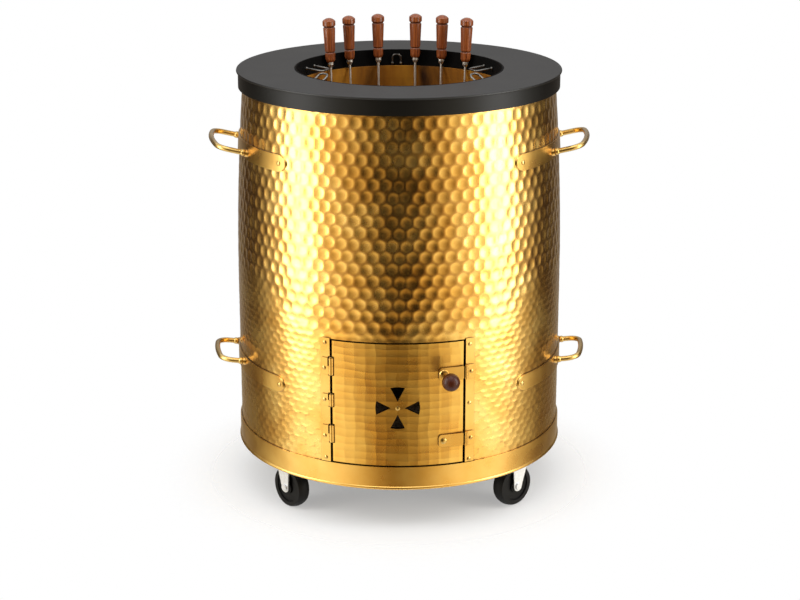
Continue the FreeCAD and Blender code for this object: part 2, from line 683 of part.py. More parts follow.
def hoop():
    outer = f"({band_inner_r} + {band_t})"
    profile = [
        (band_inner_r, band_foot_z),
        (outer, band_foot_z),
        (outer, f"{band_foot_z} + {bead_h}"),
        (outer, band_top_z),
        (band_inner_r, band_top_z),
    ]
    node("base_band", turned("hoop", profile, {1: bead_r}))


def top():
    rim = f"({plate_r} - {plate_edge})"
    profile = [
        (mouth_r, under_plate_z),
        (rim, under_plate_z),
        (rim, top_z),
        (f"{mouth_r} + {plate_edge}", top_z),
        (mouth_r, f"{top_z} - {plate_edge}"),
    ]
    rim_round = f"(({plate_t}^2 / 4 + {plate_edge}^2) / (2 * {plate_edge}))"
    node("top_plate", turned("plate", profile, {1: rim_round}))

    inner = f"({skirt_r} - {skirt_t})"
    lip_r = f"({skirt_r} - {skirt_lip})"
    profile = [
        (inner, f"{under_plate_z} - {skirt_h}"),
        (skirt_r, f"{under_plate_z} - {skirt_h}"),
        (skirt_r, under_plate_z),
        (lip_r, under_plate_z),
        (lip_r, f"{under_plate_z} - {skirt_t}"),
        (inner, f"{under_plate_z} - {skirt_t}"),
    ]
    node("top_skirt", turned("skirt", profile))

    profile = [
        (collar_inner_r, pot_top_z),
        (f"{collar_outer_r} + {collar_flange}", pot_top_z),
        (f"{collar_outer_r} + {collar_flange}", f"{pot_top_z} + {collar_t}"),
        (collar_outer_r, f"{pot_top_z} + {collar_t}"),
        (collar_outer_r, top_z),
        (collar_inner_r, top_z),
    ]
    node("mouth_collar", turned("collar", profile))


def wire_loop(name, angle, width, length, root_z, dip):
    """A U of wire that stands out from the collar, with rounded roots dressed to its wall."""
    half = f"({width} / 2)"
    root_r = f"({collar_inner_r} - {wire_r})"
    turn = f"rotationz(90 + {angle}) * rotationy({dip})"
    place = at(f"{root_r} * sin({angle})", f"-{root_r} * cos({angle})", root_z, turn)
    line = [
        ("0", f"-{half}"),
        (f"{length} - {wire_corner}", f"-{half}"),
        (length, f"{wire_corner} - {half}"),
        (length, f"{half} - {wire_corner}"),
        (f"{length} - {wire_corner}", half),
        ("0", half),
    ]
    wire = bent_rod(f"{name}_wire", line, wire_r, place, {1: wire_corner, 3: wire_corner})
    roots = [ball(f"{name}_root", wire_eye_r, f"{place} * {at(y=y)}") for y in (f"-{half}", half)]
    space = at(z=f"{root_z} - {length}")
    mouth = cylinder(f"{name}_mouth", f"{collar_inner_r} - {touch_gap}", f"2 * {length}", space)
    return common(f"{name}_loop", fuse(f"{name}_rough", [wire] + roots), mouth)


def wire_loops():
    back = (back_wire_angle, back_wire_w, back_wire_l, back_wire_root_z, back_wire_dip)
    loops = [wire_loop("back", *back)]
    for side, sign in (("left", "-1"), ("right", "1")):
        beside = (f"({sign} * {side_wire_angle})", side_wire_w, side_wire_l, side_wire_root_z, side_wire_dip)
        front = (f"({sign} * {front_wire_angle})", front_wire_w, front_wire_l, front_wire_root_z, front_wire_dip)
        loops += [wire_loop(f"{side}_side", *beside), wire_loop(f"{side}_front", *front)]
    node("mouth_wire_loops", group("all_wire_loops", loops))


# ---------------------------------------------------------------- floor, hearth, pot and fill

def base():
    disc = cylinder("floor_disc", f"{barrel_r} - {inside}", floor_t, at(z=floor_z))
    holes = [(f"{bolt_r} + {run_gap}", short_drill, place) for place in bolt_places]
    node("base_plate", drilled("floor_drilled", disc, holes))
    node("hearth_slab", cylinder("slab", slab_r, slab_t, at(z=floor_top_z)))


def passage(name, grow):
    """The inside of the ash tunnel from the pot to the drum's front, grown by so much all round."""
    wide, high = f"{tunnel_w} + 2 * ({grow})", f"{tunnel_h} + 2 * ({grow})"
    foot = f"{slab_top_z} + {tunnel_t} + {fit_gap} - ({grow})"
    return box(name, wide, barrel_r, high, at(y=f"-{barrel_r} / 2 - 30", z=foot))


def pot():
    profile = [
        (pot_hearth_r, slab_top_z),
        (pot_foot_r, slab_top_z),
        (pot_neck_r, pot_top_z),
        (pot_mouth_r, pot_top_z),
        (pot_cavity_r, grate_z),
        (pot_hearth_r, grate_z),
    ]
    wall = turned("pot_wall", profile, {1: pot_bulge_r, 3: f"-{pot_inner_r}"})
    node("clay_pot", cut("pot_open", wall, passage("pot_draught", f"{tunnel_t} + {fit_gap}")))


def fill():
    side = f"({slab_r} + {fit_gap})"
    outer = f"({barrel_r} - {inside})"
    profile = [
        (side, floor_top_z),
        (outer, floor_top_z),
        (outer, shoulder_z),
        (wall_r(pot_top_z, inside), pot_top_z),
        (f"{pot_neck_r} + {fit_gap}", pot_top_z),
        (f"{pot_foot_r} + {fit_gap}", f"{slab_top_z} + {fit_gap}"),
        (side, f"{slab_top_z} + {fit_gap}"),
    ]
    wool = turned("wool", profile, {2: f"({curve_r} - {inside})", 4: f"-({pot_bulge_r} + {fit_gap})"})
    recess = front_ring(
        "wool_recess",
        f"{recess_r} - {tunnel_t} - {fit_gap}",
        f"{barrel_r} + {band_t}",
        f"({recess_half} + {fit_gap} / {recess_r} * 180 / pi)",
        f"{recess_foot_z} - {fit_gap}",
        f"{recess_head_z} + {fit_gap}",
    )
    tools = group("wool_tools", [recess, passage("wool_passage", f"{tunnel_t} + {fit_gap}")])
    node("insulation", cut("wool_open", wool, tools))


def tunnel():
    """A shallow recess behind the door, and the passage from its face to the pot."""
    back_r, rim_r = f"({recess_r} - {tunnel_t})", f"({barrel_r} - {inside})"
    side = f"({recess_half} - {tunnel_t} / {recess_r} * 180 / pi)"
    pan = front_ring("pan", back_r, rim_r, recess_half, recess_foot_z, recess_head_z)
    hollow = front_ring(
        "pan_hollow",
        recess_r,
        f"{rim_r} + 1",
        side,
        f"{recess_foot_z} + {tunnel_t}",
        f"{recess_head_z} - {tunnel_t}",
    )
    duct = common(
        "duct",
        passage("duct_outside", tunnel_t),
        front_ring("duct_length", tunnel_end, f"{recess_r}", "45", slab_top_z, grate_z),
    )
    hole = passage("duct_hole", "0")
    node("ash_tunnel", cut("tunnel_open", fuse("tunnel_walls", [pan, duct]), group("air", [hollow, hole])))


def grate():
    body = doc.addObject("PartDesign::Body", "grate")
    edge = f"({pot_cavity_r} - {grate_gap})"
    outline = new_sketch(body, "grate_outline", "XY_Plane")
    up = FreeCAD.Vector(0, 0, 1)
    outline.addGeometry(Part.Circle(FreeCAD.Vector(), up, float(outline.evalExpression(edge))))
    constrain(outline, "edge", edge, "Radius", 0)
    outline.addConstraint(Sketcher.Constraint("Coincident", 0, 3, -1, 1))
    disc = body.newObject("PartDesign::Pad", "grate_disc")
    disc.Profile = outline
    bind(disc, Length=grate_t)
    half = f"({slot_w} / 2)"
    slot_shape = new_sketch(body, "slot_shape", "XY_Plane")
    ends = f"({slot_w} * 0.51)"
    draw(slot_shape, rectangle(slot_inner_r, slot_outer_r, f"-{half}", half), {1: ends, 3: ends})
    doc.recompute()
    slot = body.newObject("PartDesign::Pocket", "slot")
    slot.Profile = slot_shape
    slot.Type = "ThroughAll"
    slot.Midplane = True
    body.Tip = slot
    doc.recompute()
    slots = body.newObject("PartDesign::PolarPattern", "slots")
    slots.Originals = [slot]
    slots.Axis = (outline, ["N_Axis"])
    slots.Angle = 360
    bind(slots, Occurrences=slot_count)
    body.Tip = slots
    bind(body, Placement=at(z=grate_z))
    node("fire_grate", body)


# ---------------------------------------------------------------- strips, screws and hinges

def strip(name, width, angle, outer_side):
    """A jamb strip, with its upper corner rounded on the side away from the door."""
    half, low, high = f"({width} / 2)", f"({strip_foot_z} - {strip_z})", f"({strip_head_z} - {strip_z})"
    place = round_drum(angle, strip_seat_r, strip_z)
    if outer_side == "left":
        corners = [(f"-{half}", low), (half, low), (half, high), (f"{strip_corner} - {half}", high)]
        corners.append((f"-{half}", f"{high} - {strip_corner}"))
        return padded(name, corners, strip_t, place, {3: strip_corner})
    corners = [(f"-{half}", low), (half, low), (half, f"{high} - {strip_corner}")]
    corners += [(f"{half} - {strip_corner}", high), (f"-{half}", high)]
    return padded(name, corners, strip_t, place, {2: strip_corner})


def hinge_axis(height):
    return round_drum(hinge_angle, hinge_r, height)


def upright(radius, foot, length, name, height):
    """A cylinder on the hinge axis, whose foot is so far above a hinge's centre."""
    place = at(f"{hinge_r} * sin({hinge_angle})", f"-{hinge_r} * cos({hinge_angle})", f"{height} + ({foot})")
    return cylinder(name, radius, length, place)


def knuckle_clearance():
    """Room for the three hinges in the drum, the strip and the door."""
    rooms = []
    for which, (height, length) in HINGES.items():
        over = f"({length} / 2 + {face_gap} + {pin_head_t} + {notch_gap})"
        rooms.append(upright(f"{knuckle_r} + {notch_gap}", f"-{over}", f"2 * {over}", f"{which}_room", height))
    return group("knuckle_rooms", rooms)


def jambs(knuckle_room):
    left = strip("left_strip", hinge_strip_w, hinge_strip_angle, "left")
    notched = cut("left_strip_notched", left, knuckle_room)
    node("hinge_strip", drilled("left_strip_drilled", notched, screw_holes))
    right = strip("right_strip", latch_strip_w, latch_strip_angle, "right")
    node("latch_strip", drilled("right_strip_drilled", right, screw_holes))
    through = f"{strip_t} + {touch_gap} + {shell_t}"
    screws = [
        headed("screw", place, screw_head_r, screw_head_t, screw_r, f"({through} + {raised})")
        for place, raised in screw_places
    ]
    node("frame_screws", group("all_screws", screws))


def hinges():
    """Each hinge: the frame's knuckle below, the door's above, and a pin through both."""
    frame_leaves, door_leaves, pins = [], [], []
    bore_r = f"({hinge_pin_r} + {run_gap})"
    turn = f"({hinge_angle} - {hinge_strip_angle})"
    axis_x = f"({hinge_r} * sin({turn}))"
    clear = f"({knuckle_r} + {notch_gap})"
    for which, (height, length) in HINGES.items():
        half = f"({length} / 2)"
        low_half = f"({half} - {face_gap} / 2)"

        # on the strip: the leaf reaches the axis only beside its own knuckle
        low, joint, high = f"-{half}", f"-{face_gap} / 2", half
        far = f"({axis_x} - {leaf_w})"
        outline = [(far, low), (axis_x, low), (axis_x, joint), (f"{axis_x} - {clear}", joint)]
        outline += [(f"{axis_x} - {clear}", high), (far, high)]
        place = round_drum(hinge_strip_angle, f"{strip_seat_r} + {strip_t}", height)
        leaf = padded(f"{which}_leaf", outline, leaf_t, place)
        knuckle = upright(knuckle_r, f"-{half}", low_half, f"{which}_knuckle", height)
        bore = upright(bore_r, f"-{half} - 1", f"{length} + 2", f"{which}_bore", height)
        whole = cut(f"{which}_frame_leaf", fuse(f"{which}_leaf_knuckle", [leaf, knuckle]), bore)
        frame_leaves.append(drilled(f"{which}_leaf_drilled", whole, screw_holes))

        # behind the door: the same, the other way up and the other way round
        seat = f"({door_inner_r} - {fit_gap} - {leaf_t} - {hinge_r})"
        outline = [(clear, low), (door_leaf_w, low), (door_leaf_w, high), ("0", high)]
        outline += [("0", f"{face_gap} / 2"), (clear, f"{face_gap} / 2")]
        middle = f"({hinge_angle} + {degrees(f'atan({door_leaf_w} / 2 / {barrel_r})')})"
        place = round_drum(middle, f"{hinge_r} + {seat}", height)
        shift = at(x=f"{hinge_r} * sin({hinge_angle} - {middle})")
        leaf = padded(f"{which}_door_plate", outline, leaf_t, f"{place} * {shift}")
        knuckle = upright(knuckle_r, f"{face_gap} / 2", low_half, f"{which}_door_knuckle", height)
        bore = upright(bore_r, f"-{half} - 1", f"{length} + 2", f"{which}_door_bore", height)
        door_leaves.append(cut(f"{which}_door_leaf", fuse(f"{which}_door_pair", [leaf, knuckle]), bore))

        over = f"({face_gap} + {pin_head_t})"
        shank = upright(hinge_pin_r, f"-{half} - 1", f"{length} + 2", f"{which}_shank", height)
        foot = upright(pin_head_r, f"-{half} - {over}", pin_head_t, f"{which}_pin_foot", height)
        head = upright(pin_head_r, f"{half} + {face_gap}", pin_head_t, f"{which}_pin_head", height)
        pins.append(fuse(f"{which}_pin", [shank, foot, head]))
    node("frame_hinge_leaves", group("all_frame_leaves", frame_leaves))
    node("door_hinge_leaves", group("all_door_leaves", door_leaves))
    node("hinge_pins", group("all_pins", pins))


# ---------------------------------------------------------------- door, vent and latches

vent_place = round_drum(door_turn, barrel_r, vent_z)


def latch_place(height):
    return round_drum(f"({door_turn} + {latch_angle})", barrel_r, height)


def vent_openings():
    """Four wedges round the vent's centre, long enough to open both the door and the damper."""
    half = f"({vent_open_w} / 2)"
    end_x = f"sqrt({vent_outer_r}^2 - {half}^2)"
    corners = [(vent_tip_r, "0"), (end_x, f"-{half}"), (end_x, half)]
    wedges = []
    for i in range(4):
        place = f"{vent_place} * {at(z='-20', turn=f'rotationz({90 * i})')}"
        wedges.append(padded("vent_wedge", corners, long_drill, place, {1: vent_rim_r}))
    return group("vent_wedges", wedges)


def door(knuckle_room):
    sheet_metal = front_ring("door_sheet", door_inner_r, door_outer_r, door_half, door_foot_z, door_head_z)
    wedges = vent_openings()
    open_sheet = cut("door_open", sheet_metal, group("door_tools", [wedges, knuckle_room]))
    holes = [
        (f"{spindle_r} + {run_gap}", short_drill, latch_place(upper_latch_z)),
        (f"{pivot_r} + {run_gap}", short_drill, latch_place(lower_latch_z)),
        (f"{pivot_r} + {run_gap}", short_drill, vent_place),
    ]
    node("door_panel", drilled("door_drilled", open_sheet, holes))

    seat = at(z=f"-({damper_in} + {damper_t})")
    disc = cylinder("damper_disc", damper_r, damper_t, f"{vent_place} * {seat}")
    holes = [(f"{pivot_r} + {run_gap}", long_drill, vent_place)]
    node("vent_damper", drilled("damper_drilled", cut("damper_open", disc, wedges), holes))

    # the damper runs between a shoulder and the inner head of the rivet
    back = f"-({damper_in} + {damper_t} + {face_gap})"
    shoulder = f"-({damper_in} - {face_gap})"
    face = f"({door_proud} + {touch_gap})"
    behind = f"({door_proud} - {door_t} - {touch_gap})"
    profile = [
        ("0", f"{back} - {pivot_head_t}"),
        (pivot_head_r, f"{back} - {pivot_head_t}"),
        (pivot_head_r, back),
        (pivot_r, back),
        (pivot_r, shoulder),
        (f"{pivot_head_r} + 1", shoulder),
        (f"{pivot_head_r} + 1", behind),
        (pivot_r, behind),
        (pivot_r, face),
        (vent_head_r, face),
        (vent_head_r, f"{face} + {pivot_head_t} / 4"),
        ("0", f"{face} + {pivot_head_t} * 3 / 4"),
    ]
    head = dome(vent_head_r, f"{pivot_head_t} / 2")
    node("vent_rivet", turned("vent_pivot", profile, {10: head}, vent_place))


def latch_bar(name, height, bore_r):
    half = f"({bar_h} / 2)"
    corners = [
        (f"{bar_corner} - {bar_tail}", f"-{half}"),
        (bar_reach, f"-{half}"),
        (bar_reach, half),
        (f"{bar_corner} - {bar_tail}", half),
        (f"-{bar_tail}", f"{half} - {bar_corner}"),
        (f"-{bar_tail}", f"{bar_corner} - {half}"),
    ]
    place = f"{latch_place(height)} * {at(z=bar_seat)}"
    bar = padded(f"{name}_plate", corners, bar_t, place, {3: bar_corner, 5: bar_corner})
    return drilled(f"{name}_bar", bar, [(f"{bore_r} + {run_gap}", short_drill, place)])


def latches():
    node("upper_latch_bar", latch_bar("upper_latch", upper_latch_z, spindle_r))
    node("lower_latch_bar", latch_bar("lower_latch", lower_latch_z, pivot_r))

    # the upper latch turns with its spindle and knob
    behind = f"({door_proud} - {door_t} - {face_gap})"
    profile = [
        ("0", f"{behind} - {nut_t}"),
        (nut_r, f"{behind} - {nut_t}"),
        (nut_r, behind),
        (spindle_r, behind),
        (spindle_r, bar_face),
        (rosette_r, bar_face),
        (f"{rosette_r} - 1", f"{bar_face} + {rosette_t}"),
        (neck_r, f"{bar_face} + {rosette_t}"),
        (neck_r, knob_seat),
        (spindle_r, knob_seat),
        (spindle_r, f"{knob_seat} + {knob_bore} - 1"),
        ("0", f"{knob_seat} + {knob_bore} - 1"),
    ]
    node("latch_spindle", turned("spindle", profile, None, latch_place(upper_latch_z)))
    profile = [
        (f"{spindle_r} + {run_gap}", knob_seat),
        (knob_seat_r, knob_seat),
        ("0", f"{knob_out} + {knob_r}"),
        ("0", f"{knob_seat} + {knob_bore}"),
        (f"{spindle_r} + {run_gap}", f"{knob_seat} + {knob_bore}"),
    ]
    node("latch_knob", turned("knob", profile, {1: knob_r}, latch_place(upper_latch_z)))

    # the lower one turns on a rivet that is fixed in the door
    behind = f"({door_proud} - {door_t} - {touch_gap})"
    face = f"({bar_face} + {face_gap})"
    profile = [
        ("0", f"{behind} - {pivot_head_t}"),
        (pivot_head_r, f"{behind} - {pivot_head_t}"),
        (pivot_head_r, behind),
        (pivot_r, behind),
        (pivot_r, face),
        (pivot_head_r, face),
        (pivot_head_r, f"{face} + {pivot_head_t} / 4"),
        ("0", f"{face} + {pivot_head_t}"),
    ]
    head = dome(pivot_head_r, f"{pivot_head_t} * 3 / 4")
    node("lower_latch_rivet", turned("latch_rivet", profile, {6: head}, latch_place(lower_latch_z)))

    for which, height in (("upper", upper_latch_z), ("lower", lower_latch_z)):
        half, high = f"({latch_strip_w} / 2)", f"({keeper_h} / 2)"
        nose_x = f"({nose_r} - {nose_over} - {half})"
        corners = [(nose_x, f"-{high}"), (f"{half} - {keeper_corner}", f"-{high}")]
        corners += [(half, f"{keeper_corner} - {high}"), (half, f"{high} - {keeper_corner}")]
        corners += [(f"{half} - {keeper_corner}", high), (nose_x, high)]
        place = round_drum(latch_strip_angle, f"{strip_seat_r} + {strip_t}", height)
        plate = padded(f"{which}_plate", corners, keeper_t, place, {1: keeper_corner, 3: keeper_corner})
        turn = f"{place} * {at(nose_x, high, nose_r, 'rotationx(90)')}"
        nose = cylinder(f"{which}_nose", nose_r, keeper_h, turn)
        whole = fuse(f"{which}_keeper_whole", [plate, nose])
        node(f"{which}_keeper", drilled(f"{which}_keeper_drilled", whole, screw_holes))


# ---------------------------------------------------------------- lifting handles

def frustum(name, height, curved, outward):
    """The space inside a surface that far outside the drum, over the height of a strap."""
    low, high = f"({height} - {strap_h} / 2 - 10)", f"({height} + {strap_h} / 2 + 10)"
    low_r, high_r = (strap_wall(z, curved, outward) for z in (low, high))
    return turned(name, [("0", low), (low_r, low), (high_r, high), ("0", high)])


def handle(name, middle, height, span, root_z, tilt, curved):
    """One handle: a strap with rounded ends and two lugs, and a loop of rod in the lugs."""
    facing = at(turn=f"rotationz({middle})")
    half_h, half_span = f"({strap_h} / 2)", f"({span} / 2)"
    straight = f"({strap_half} - {half_h})"
    outline = [
        (f"-{straight}", f"{height} - {half_h}"),
        (straight, f"{height} - {half_h}"),
        (strap_half, height),
        (straight, f"{height} + {half_h}"),
        (f"-{straight}", f"{height} + {half_h}"),
        (f"-{strap_half}", height),
    ]
    bends = {i: half_h for i in (1, 2, 4, 5)}
    side_view = padded(f"{name}_side_view", outline, "400", None, bends, "YZ_Plane")
    face = frustum(f"{name}_face", height, curved, f"({strap_t} + {touch_gap})")
    face_x = f"sqrt({strap_wall(height, curved, f'({strap_t} + {touch_gap})')}^2 - {half_span}^2)"
    lugs = []
    for y in (f"-{half_span}", half_span):
        root = at(face_x, y, root_z, f"rotationy(90 - {tilt})")
        lugs.append(cylinder(f"{name}_lug", lug_r, f"{lug_out} + 12", f"{root} * {at(z='-12')}"))
    whole = fuse(f"{name}_strap_whole", [common(f"{name}_strap_plate", side_view, face)] + lugs)
    strap = cut(f"{name}_strap_seated", whole, frustum(f"{name}_seat", height, curved, touch_gap))
    bind(strap, Placement=facing)
    node(f"{name}_strap", drilled(f"{name}_strap_drilled", strap, rivet_holes))

    # the loop: two arms, two tight bends and a slightly bowed grip
    reach = f"(({loop_out} - {rod_r} - {face_x}) / cos({tilt}) - {lug_out} - {touch_gap})"
    lean = f"(({half_span} - {loop_corner}) / ({loop_bow} - {loop_corner}))"
    along = f"sqrt(1 - {lean}^2)"
    arm = f"({reach} - {loop_bow} + ({loop_bow} - {loop_corner}) * {along})"
    bend_x, bend_y = f"({reach} - {loop_bow} + {loop_bow} * {along})", f"({loop_bow} * {lean})"
    line = [
        ("0", f"-{half_span}"),
        (arm, f"-{half_span}"),
        (bend_x, f"-{bend_y}"),
        (bend_x, bend_y),
        (arm, half_span),
        ("0", half_span),
    ]
    raised = at(face_x, "0", root_z, f"rotationy(-{tilt})")
    place = f"{facing} * {raised} * {at(x=f'{lug_out} + {touch_gap}')}"
    rod = bent_rod(f"{name}_rod", line, rod_r, place, {1: loop_corner, 2: loop_bow, 3: loop_corner})
    flat = f"-{degrees(f'asin({root_ball_out} / {root_ball_r})')}"
    balls = [
        ball(f"{name}_ball", root_ball_r, f"{place} * {at(root_ball_out, y, '0', 'rotationy(90)')}", flat)
        for y in (f"-{half_span}", half_span)
    ]
    node(f"{name}_loop", fuse(f"{name}_loop_whole", [rod] + balls))


def handles():
    for which, sizes in HANDLES.items():
        for side, middle in SIDES.items():
            handle(f"{which}_{side}", middle, *sizes)
    through = f"({strap_t} + 2 * {touch_gap} + {shell_t})"
    rivets = [headed("rivet", place, rivet_head_r, rivet_head_t, rivet_r, through) for place in rivet_places]
    node("handle_rivets", group("all_rivets", rivets))


# ---------------------------------------------------------------- castors

def castor_fork(name, place):
    """A fork about its swivel axis: local X is the way it trails and local Y runs along the axle."""
    leg_back = f"({castor_trail} + {leg_end_r})"
    legs = []
    for y in (leg_out, f"-{leg_in}"):
        outline = [
            (f"-{crown_half}", crown_top_z),
            (f"-{crown_half}", crown_z),
            (f"{castor_trail} - {leg_end_r} - {leg_flare} / 6", f"{crown_z} - {gusset}"),
            (f"{castor_trail} - {leg_end_r}", wheel_r),
            (castor_trail, f"{wheel_r} - {leg_end_r}"),
            (leg_back, wheel_r),
            (f"{leg_back} + {leg_flare}", f"{crown_z} - {gusset}"),
            (crown_half, f"{crown_z} - {crown_drop}"),
            (crown_half, crown_top_z),
        ]
        bends = {3: leg_end_r, 4: leg_end_r}
        upright_plane = f"{place} * {at(y=y, turn='rotationx(90)')}"
        legs.append(padded(f"{name}_leg", outline, leg_t, upright_plane, bends))
    crown = box(f"{name}_crown", f"2 * {crown_half}", f"2 * {leg_out}", leg_t, f"{place} * {at(z=crown_z)}")
    race = cylinder(f"{name}_race", race_r, race_t, f"{place} * {at(z=crown_top_z)}")
    whole = fuse(f"{name}_whole", legs + [crown, race])
    axle_place = f"{place} * {at(x=castor_trail, z=wheel_r, turn='rotationx(90)')}"
    holes = [
        (f"{kingpin_r} + {run_gap}", long_drill, f"{place} * {at(z=crown_top_z)}"),
        (f"{axle_r} + {run_gap}", axle_drill, axle_place),
    ]
    fork = drilled(f"{name}_fork_drilled", whole, holes)
    end = f"({leg_out} + {touch_gap})"
    profile = [
        ("0", f"-{end} - {axle_head_t}"),
        (axle_head_r, f"-{end} - {axle_head_t}"),
        (axle_head_r, f"-{end}"),
        (axle_r, f"-{end}"),
        (axle_r, end),
        (axle_head_r, end),
        (axle_head_r, f"{end} + {axle_head_t}"),
        ("0", f"{end} + {axle_head_t}"),
    ]
    axle = turned(f"{name}_axle", profile, None, axle_place)
    node(f"{name}_fork", group(f"{name}_fork_and_axle", [fork, axle]))

    half, rim = f"({wheel_w} / 2)", f"({wheel_w} / 2 - {tyre_side})"
    bore = f"({axle_r} + {run_gap})"
    shoulder = f"({wheel_r} - {tread_r} + sqrt({tread_r}^2 - {rim}^2))"
    profile = [
        (bore, f"-{half}"),
        (hub_r, f"-{half}"),
        (hub_r, f"{web_in} - {half}"),
        (web_r, f"{web_in} - {half}"),
        (f"{web_r} + 1", f"-{rim}"),
        (shoulder, f"-{rim}"),
        (shoulder, rim),
        (f"{web_r} + 1", rim),
        (web_r, f"{half} - {web_in}"),
        (hub_r, f"{half} - {web_in}"),
        (hub_r, half),
        (bore, half),
    ]
    node(f"{name}_wheel", turned(f"{name}_tyre", profile, {5: tread_r}, axle_place))


def castors():
    plates = []
    for which, (to_side, to_back, turn) in CASTORS.items():
        castor_fork(f"{which}_castor", castor_axis(to_side, to_back, turn))
        place = castor_mount(to_side, to_back)
        blank = box(f"{which}_plate", mount_l, mount_w, mount_t, f"{place} * {at(z=mount_z)}")
        foot, neck = f"({crown_z} - {face_gap} - {kingpin_head_t})", f"({crown_z} - {face_gap})"
        profile = [
            ("0", foot),
            (kingpin_head_r, foot),
            (kingpin_head_r, neck),
            (kingpin_r, neck),
            (kingpin_r, f"{race_top_z} + {face_gap}"),
            (upper_race_r, f"{race_top_z} + {face_gap}"),
            (upper_race_r, f"{mount_z} + 1"),
            ("0", f"{mount_z} + 1"),
        ]
        kingpin = turned(f"{which}_kingpin", profile, None, place)
        whole = fuse(f"{which}_plate_whole", [blank, kingpin])
        holes = [(f"{bolt_r} + {run_gap}", short_drill, bolt) for bolt in bolt_places]
        plates.append(drilled(f"{which}_plate_drilled", whole, holes))
    node("castor_plates", group("all_castor_plates", plates))
    bolts = []
    for place in bolt_places:
        profile = [
            ("0", f"-{touch_gap} - {bolt_head_t}"),
            (bolt_head_r, f"-{touch_gap} - {bolt_head_t}"),
            (bolt_head_r, f"-{touch_gap}"),
            (bolt_r, f"-{touch_gap}"),
            (bolt_r, f"{mount_t} + {floor_t}"),
            ("0", f"{mount_t} + {floor_t}"),
        ]
        bolts.append(turned("bolt", profile, None, place))
    node("castor_bolts", group("all_bolts", bolts))


# ---------------------------------------------------------------- skewers

def skewer(which):
    """A skewer that stands on the grate and leans on the collar. Local Z is its axis, 0 at the top."""
    angle = f"(180 - dims.{which}_skewer)"
    axis_r = f"({collar_inner_r} - {handle_ring_r} - {fit_gap})"
    turn = f"rotationz({angle}) * rotationx({skewer_lean})"
    place = at(f"{axis_r} * sin({angle})", f"-{axis_r} * cos({angle})", top_z, turn)
    foot = f"-{handle_drop}"
    tip = f"-(({top_z} - {grate_top_z} - {fit_gap}) / cos({skewer_lean}))"
    profile = [
        ("0", tip),
        (skewer_r, f"{tip} + {skewer_point}"),
        (skewer_r, f"{foot} - {ferrule_h}"),
        (ferrule_foot_r, f"{foot} - {ferrule_h}"),
        (ferrule_r, f"{foot} - {ferrule_h} / 2"),
        (ferrule_r, foot),
        (skewer_r, foot),
        (skewer_r, f"{foot} + {tang_l}"),
        ("0", f"{foot} + {tang_l}"),
    ]
    node(f"{which}_skewer_rod", turned(f"{which}_rod", profile, None, place))

    bore = f"({skewer_r} + {run_gap})"
    low, high, half = f"({foot} + {lower_ring})", f"({foot} + {upper_ring})", f"({groove_w} / 2)"
    end = f"({foot} + {handle_l})"
    profile = [
        (bore, foot),
        (handle_foot_r, foot),
        (f"{handle_ring_r} - {ring_groove}", f"{foot} + {foot_rise}"),
        (handle_ring_r, f"{low} - {half}"),
        (f"{handle_ring_r} - {groove_in}", low),
        (handle_waist_r, f"{low} + {half}"),
        (handle_top_r, f"{high} - {half}"),
        (f"{handle_top_r} - {groove_in}", high),
        (handle_cap_r, f"{high} + {half} + 1"),
        (handle_cap_r, f"{end} - {cap_rise}"),
        ("0", end),
        ("0", f"{foot} + {tang_l} + 1"),
        (bore, f"{foot} + {tang_l} + 1"),
    ]
    cap = dome(handle_cap_r, cap_rise)
    node(f"{which}_skewer_handle", turned(f"{which}_handle", profile, {1: foot_round, 9: cap}, place))


# ---------------------------------------------------------------- the whole oven

knuckle_room = knuckle_clearance()
drum(knuckle_room)
hoop()
top()
wire_loops()
base()
pot()
fill()
tunnel()
grate()
jambs(knuckle_room)
hinges()
door(knuckle_room)
latches()
handles()
castors()
for which in SKEWERS:
    skewer(which)

doc.recompute()
for feature in doc.Objects:
    if {"Invalid", "Error"} & set(feature.State):
        raise RuntimeError(f"{feature.Name} did not recompute: {feature.State}")
for finished in nodes:
    if finished.Shape.isNull() or not finished.Shape.isValid() or not finished.Shape.Solids:
        raise RuntimeError(f"{finished.Label} is not a sound solid")

os.makedirs("parts", exist_ok=True)
for finished in nodes:
    finished.Shape.exportStep(f"parts/{finished.Label}.step")
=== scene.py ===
"""Looks of the barrel tandoor: hammered brass drum, enamelled top, turned wood and plated castors.

Metres, +Z up, the ash door towards -Y. The frame's solids carry the construction; here they get
their finishes, and the drum's sheet gets the hammer marks that the plain solid leaves out.
"""

import math

import bpy
import bmesh
import numpy as np
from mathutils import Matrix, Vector


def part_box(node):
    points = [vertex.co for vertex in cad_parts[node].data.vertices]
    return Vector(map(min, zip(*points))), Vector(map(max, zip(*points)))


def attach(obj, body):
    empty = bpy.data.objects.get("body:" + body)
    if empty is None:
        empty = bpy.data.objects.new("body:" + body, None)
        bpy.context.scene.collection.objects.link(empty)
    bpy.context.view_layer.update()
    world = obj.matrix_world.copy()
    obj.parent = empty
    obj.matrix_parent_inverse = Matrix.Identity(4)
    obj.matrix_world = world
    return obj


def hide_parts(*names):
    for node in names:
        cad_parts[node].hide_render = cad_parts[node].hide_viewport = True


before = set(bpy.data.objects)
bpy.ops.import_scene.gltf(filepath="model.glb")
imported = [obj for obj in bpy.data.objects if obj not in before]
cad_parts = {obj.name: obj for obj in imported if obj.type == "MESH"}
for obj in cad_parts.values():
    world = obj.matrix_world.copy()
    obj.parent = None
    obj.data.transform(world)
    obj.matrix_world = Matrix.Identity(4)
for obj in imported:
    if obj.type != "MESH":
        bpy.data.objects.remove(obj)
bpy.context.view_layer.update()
mm = 0.001

# ---------------------------------------------------------------- sizes

# drum, as the solids have it
barrel_r = 305 * mm
crown_r = 287 * mm
crown_z = 795 * mm
shoulder_z = 380 * mm
sheet_t = 1.4 * mm
drum_low, drum_high = (corner.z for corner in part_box("outer_shell"))

